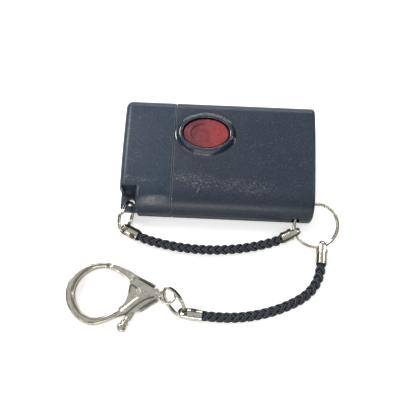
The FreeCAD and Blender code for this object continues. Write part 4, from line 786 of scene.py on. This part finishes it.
def clasp_relief():
    """The clasp's cast body, with a ridge along its cheeks and painted shade in its grooves.

    Half height = the highest half height, less a quarter ellipse that falls
    off from the outline, less the hook's slope, less grooves along guide lines
    and beside the hook's edges, plus a ridge along a guide line; but never
    less than a floor, which is full at the pin. The floor stands above the
    hook and the grooves. So the faces come out flat at the floor's height, but
    for the ridge, and the grooves show by their painted shade alone.
    """
    mesh = refined(NODES["clasp_body"], "clasp_relief", CLASP_EDGE)
    places, normals = vertex_values(mesh, "co") / MM, vertex_values(mesh, "normal")
    plan = places[:, :2]
    height = places[:, 2] - CLASP_MIDDLE
    level = np.abs(height)
    cheek = smooth_step(off_line(plan, CHEEK_EDGE), *CHEEK_BLEND)
    from_pivot = np.linalg.norm(plan - PIVOT, axis=1)
    on_wall = (np.abs(normals[:, 2]) < FLAT_NORMAL) & (from_pivot > PIN_BORE)
    rim = on_wall & np.where(cheek > 0.5, inside(level, CHEEK_RIM), inside(level, HOOK_RIM))
    inward = ((np.array(HOOK_CENTRE) - plan) * normals[:, :2]).sum(axis=1) > 0.0
    inner = nearest(plan, plan[rim & inward & (cheek < 0.5)])
    edge = nearest(plan, plan[rim])

    upper = (height > UPPER_SIDE) * 1.0
    groove = np.zeros(len(plan))
    for distance, (place, width, strength) in ((inner, INNER_GROOVE), (edge, EDGE_GROOVE)):
        groove = np.maximum(groove, strength * bell(distance - place, width) * (1.0 - cheek))
    for corners in GROOVES:
        groove = np.maximum(groove, crest(plan, corners, GROOVE_WIDE) * cheek)
    groove = groove * upper

    ridge = RIDGE_RISE * crest(plan, RIDGE, RIDGE_WIDE) * upper
    rounding = between(HOOK_DROP, CHEEK_DROP, cheek) * quarter_ellipse(edge, between(HOOK_REACH, CHEEK_REACH, cheek))
    slope = SLOPE_DROP * (1.0 - np.clip(edge / SLOPE_REACH, 0.0, 1.0)) * (1.0 - cheek)
    target = between(HOOK_HALF, CHEEK_HALF - RIDGE_RISE, cheek) + ridge - rounding - slope - GROOVE_DEPTH * groove
    floor = CHEEK_HALF - FLOOR_DROP * smooth_step(from_pivot, *FLOOR_STRETCH)
    target = np.clip(np.maximum(target, floor), 0.0, CHEEK_HALF)
    core_half = between(HOOK_CORE, CHEEK_CORE, cheek)
    places[:, 2] = CLASP_MIDDLE + np.sign(height) * pressed(level, core_half, HOOK_HALF, target)
    # The groove mask also sets the painted shade: darker colour in the grooves and beside the hook's edges.
    return finish_relief(mesh, "clasp_relief", places, GROOVE_PAINTED_SHADE * groove, "clasp", "clasp_body")


def gate_relief():
    """The gate with rounded arms.

    Half height = the arms' half height less a quarter ellipse that falls off
    within a millimetre of the outline; the tongue in the slot is left alone.
    """
    mesh = refined(NODES["clasp_gate"], "gate_relief", GATE_EDGE)
    places, normals = vertex_values(mesh, "co") / MM, vertex_values(mesh, "normal")
    plan = places[:, :2]
    height = places[:, 2] - CLASP_MIDDLE
    level = np.abs(height)
    rim = (np.abs(normals[:, 2]) < FLAT_NORMAL) & inside(level, GATE_RIM)
    target = GATE_HALF - GATE_DROP * quarter_ellipse(nearest(plan, plan[rim]), GATE_REACH)
    places[:, 2] = CLASP_MIDDLE + np.sign(height) * pressed(level, TONGUE_HALF, GATE_HALF, target)
    # Painted shade: a dark band along the slot line, where the gate's heel lies in shade.
    painted_shade = crest(plan, SLOT_LINE, SLOT_SHADE_WIDE)
    return finish_relief(mesh, "gate_relief", places, painted_shade, "gate", "clasp_gate")


CLASP = clasp_relief()
GATE = gate_relief()

# Split rings: turns of wire, steps along it and sides round it.
RING_TURNS = 2
RING_STEPS = 240
RING_SIDES = 12
BODY_RING_TILT = math.radians(22.0)


def split_ring(name, node, centre, axes, radius, half_radial, half_axial, pitch):
    """Two turns of wire with an oval section, lying on each other.

    The centre line is a helix: its angle grows with the step, its rise with
    the angle; the section is an ellipse in the outward and axial directions.
    """
    turned = np.linspace(0.0, 2.0 * np.pi * RING_TURNS, RING_STEPS)[None, :]
    around = np.linspace(0.0, 2.0 * np.pi, RING_SIDES, endpoint=False)[:, None]
    reach = radius + half_radial * np.cos(around)
    rise = pitch * (turned / (2.0 * np.pi) - RING_TURNS / 2.0) + half_axial * np.sin(around)
    local = np.stack([reach * np.cos(turned), reach * np.sin(turned), rise], 2).reshape(-1, 3)
    verts = np.array(centre) + local @ np.array(axes)
    piece = make_piece(name, verts, tube_faces(RING_SIDES, RING_STEPS), NICKEL)
    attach(piece, "housing")
    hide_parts(node)
    return piece


def turned_axes(x_axis, y_axis, split):
    """Rows of a ring's own axes, turned in its plane by the angle of its cut."""
    x_axis, y_axis = np.array(x_axis), np.array(y_axis)
    angle = math.radians(split)
    return [math.cos(angle) * x_axis + math.sin(angle) * y_axis,
            math.cos(angle) * y_axis - math.sin(angle) * x_axis, np.cross(x_axis, y_axis)]


LARGE_RING = split_ring(
    "body_ring_wire", "body_ring", centre=(35.05, -21.25, 4.95),
    axes=turned_axes((1.0, 0.0, 0.0), (0.0, math.cos(BODY_RING_TILT), math.sin(BODY_RING_TILT)), split=70.0),
    radius=7.55, half_radial=0.54, half_axial=0.335, pitch=0.73)
SMALL_RING = split_ring(
    "cap_ring_wire", "cap_ring", centre=(-31.357, -20.978, 5.62),
    axes=turned_axes((-0.258819, -0.965926, 0.0), (-0.184307, 0.049385, 0.981627), split=80.0),
    radius=5.05, half_radial=0.44, half_axial=0.295, pitch=0.65)

# Each cord: its route, the plait's turn, what its far end is, the pieces on it.
CORDS = {
    "strap": (STRAP_ROUTE, 0.15, "object", ["strap_ferrule_cap", "strap_ferrule_ring", SMALL_RING]),
    "tether": (TETHER_ROUTE, 0.35, "fitting", [
        "tether_ferrule_ring", "tether_ferrule_link", "oval_link", "swivel_eye", "gate_pin", "gate_spring",
        LARGE_RING, CLASP, GATE]),
}
for label, (route, turn, far_end, on_it) in CORDS.items():
    braid, centre = plait(label + "_braid", route, turn)
    filling = core(label + "_core", route)
    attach(braid, "housing")
    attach(filling, "housing")
    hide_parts(label + "_cord")


# Light and table: colours, heights of the surround's low and high sky, half the
# table's width and its drop below the object in millimetres, and its own glow.
WHITE = (1.0, 1.0, 1.0)
WARM = (1.0, 0.97, 0.92)
PALE = (1.0, 0.99, 0.96)
LOW_SKY, HIGH_SKY = 0.35, 0.92
TABLE_GREY = (0.93, 0.93, 0.93)
TABLE_HALF = 900.0
TABLE_DROP = 0.02
TABLE_GLOW = 0.51
# The camera's near and far clipping, in metres.
CLIP_NEAR, CLIP_FAR = 0.005, 5.0


def area_light(name, place, aim, width, height, watts, colour):
    """A soft rectangular lamp at a place, facing an aim point, in millimetres."""
    data = bpy.data.lights.new(name, "AREA")
    data.shape = "RECTANGLE"
    data.size = width * MM
    data.size_y = height * MM
    data.energy = watts
    data.color = colour
    lamp = bpy.data.objects.new(name, data)
    lamp.location = Vector(place) * MM
    direction = (Vector(aim) - Vector(place)).normalized()
    lamp.rotation_euler = direction.to_track_quat("-Z", "Y").to_euler()
    bpy.context.scene.collection.objects.link(lamp)


def pale_world(low, high):
    """A pale surround, dimmer towards the horizon; straight views of it are pure white."""
    world = bpy.data.worlds.new("surround")
    bpy.context.scene.world = world
    world.use_nodes = True
    net = Net(world.node_tree)
    up = net.part(net.node("ShaderNodeTexCoord").outputs["Generated"], "Z")
    seen = net.node("ShaderNodeLightPath").outputs["Is Camera Ray"]
    strength = net.calc("MAXIMUM", net.band(up, LOW_SKY, HIGH_SKY, start=low, end=high), seen)
    net.give(net.tree.nodes["Background"].inputs["Color"], WHITE)
    net.give(net.tree.nodes["Background"].inputs["Strength"], strength)


def table():
    """A wide white sheet that the object lies on; straight views of it are nearly pure white."""
    verts = [(x * TABLE_HALF, y * TABLE_HALF, -TABLE_DROP) for x, y in ((-1, -1), (1, -1), (1, 1), (-1, 1))]
    shader = Shader("white_table", TABLE_GREY, 0.9)
    seen = shader.node("ShaderNodeLightPath").outputs["Is Camera Ray"]
    shader.feed("Emission Color", WHITE)
    shader.feed("Emission Strength", shader.calc("MULTIPLY", seen, TABLE_GLOW))
    sheet = make_piece("white_table", verts, [(0, 1, 2, 3)], shader.material)


def camera():
    """The camera at the photograph's viewing angle."""
    tilt, pan, roll = (math.radians(angle) for angle in (CAMERA_TILT, CAMERA_PAN, CAMERA_ROLL))
    back = Vector((math.sin(pan), -math.sin(tilt) * math.cos(pan), math.cos(tilt) * math.cos(pan))).normalized()
    place = Vector(CAMERA_AIM) + back * CAMERA_DISTANCE
    level = Vector((0.0, 1.0, 0.0)).cross(back).normalized()
    upright = back.cross(level)
    right = math.cos(roll) * level + math.sin(roll) * upright
    up = math.cos(roll) * upright - math.sin(roll) * level
    data = bpy.data.cameras.new("camera")
    data.lens = CAMERA_LENS
    data.clip_start = CLIP_NEAR
    data.clip_end = CLIP_FAR
    view = bpy.data.objects.new("camera", data)
    view.matrix_world = Matrix.Translation(place * MM) @ Matrix((right, up, back)).transposed().to_4x4()
    bpy.context.scene.collection.objects.link(view)
    bpy.context.scene.camera = view


bpy.context.scene.view_settings.view_transform = "Standard"
pale_world(low=0.05, high=0.60)
table()
area_light("window", place=(-250.0, 170.0, 330.0), aim=(0.0, -15.0, 0.0), width=150.0, height=150.0,
           watts=1.5, colour=WHITE)
area_light("back_strip", place=(0.0, 420.0, 190.0), aim=(0.0, 0.0, 0.0), width=420.0, height=90.0,
           watts=0.9, colour=WHITE)
area_light("low_front", place=(-60.0, -420.0, 120.0), aim=(0.0, -10.0, 0.0), width=300.0, height=60.0,
           watts=0.6, colour=WARM)
area_light("left_front", place=(-300.0, -260.0, 250.0), aim=(-10.0, 0.0, 10.0), width=200.0, height=160.0,
           watts=0.42, colour=WARM)
area_light("right_strip", place=(330.0, 60.0, 260.0), aim=(0.0, -20.0, 0.0), width=60.0, height=260.0,
           watts=0.30, colour=PALE)
camera()
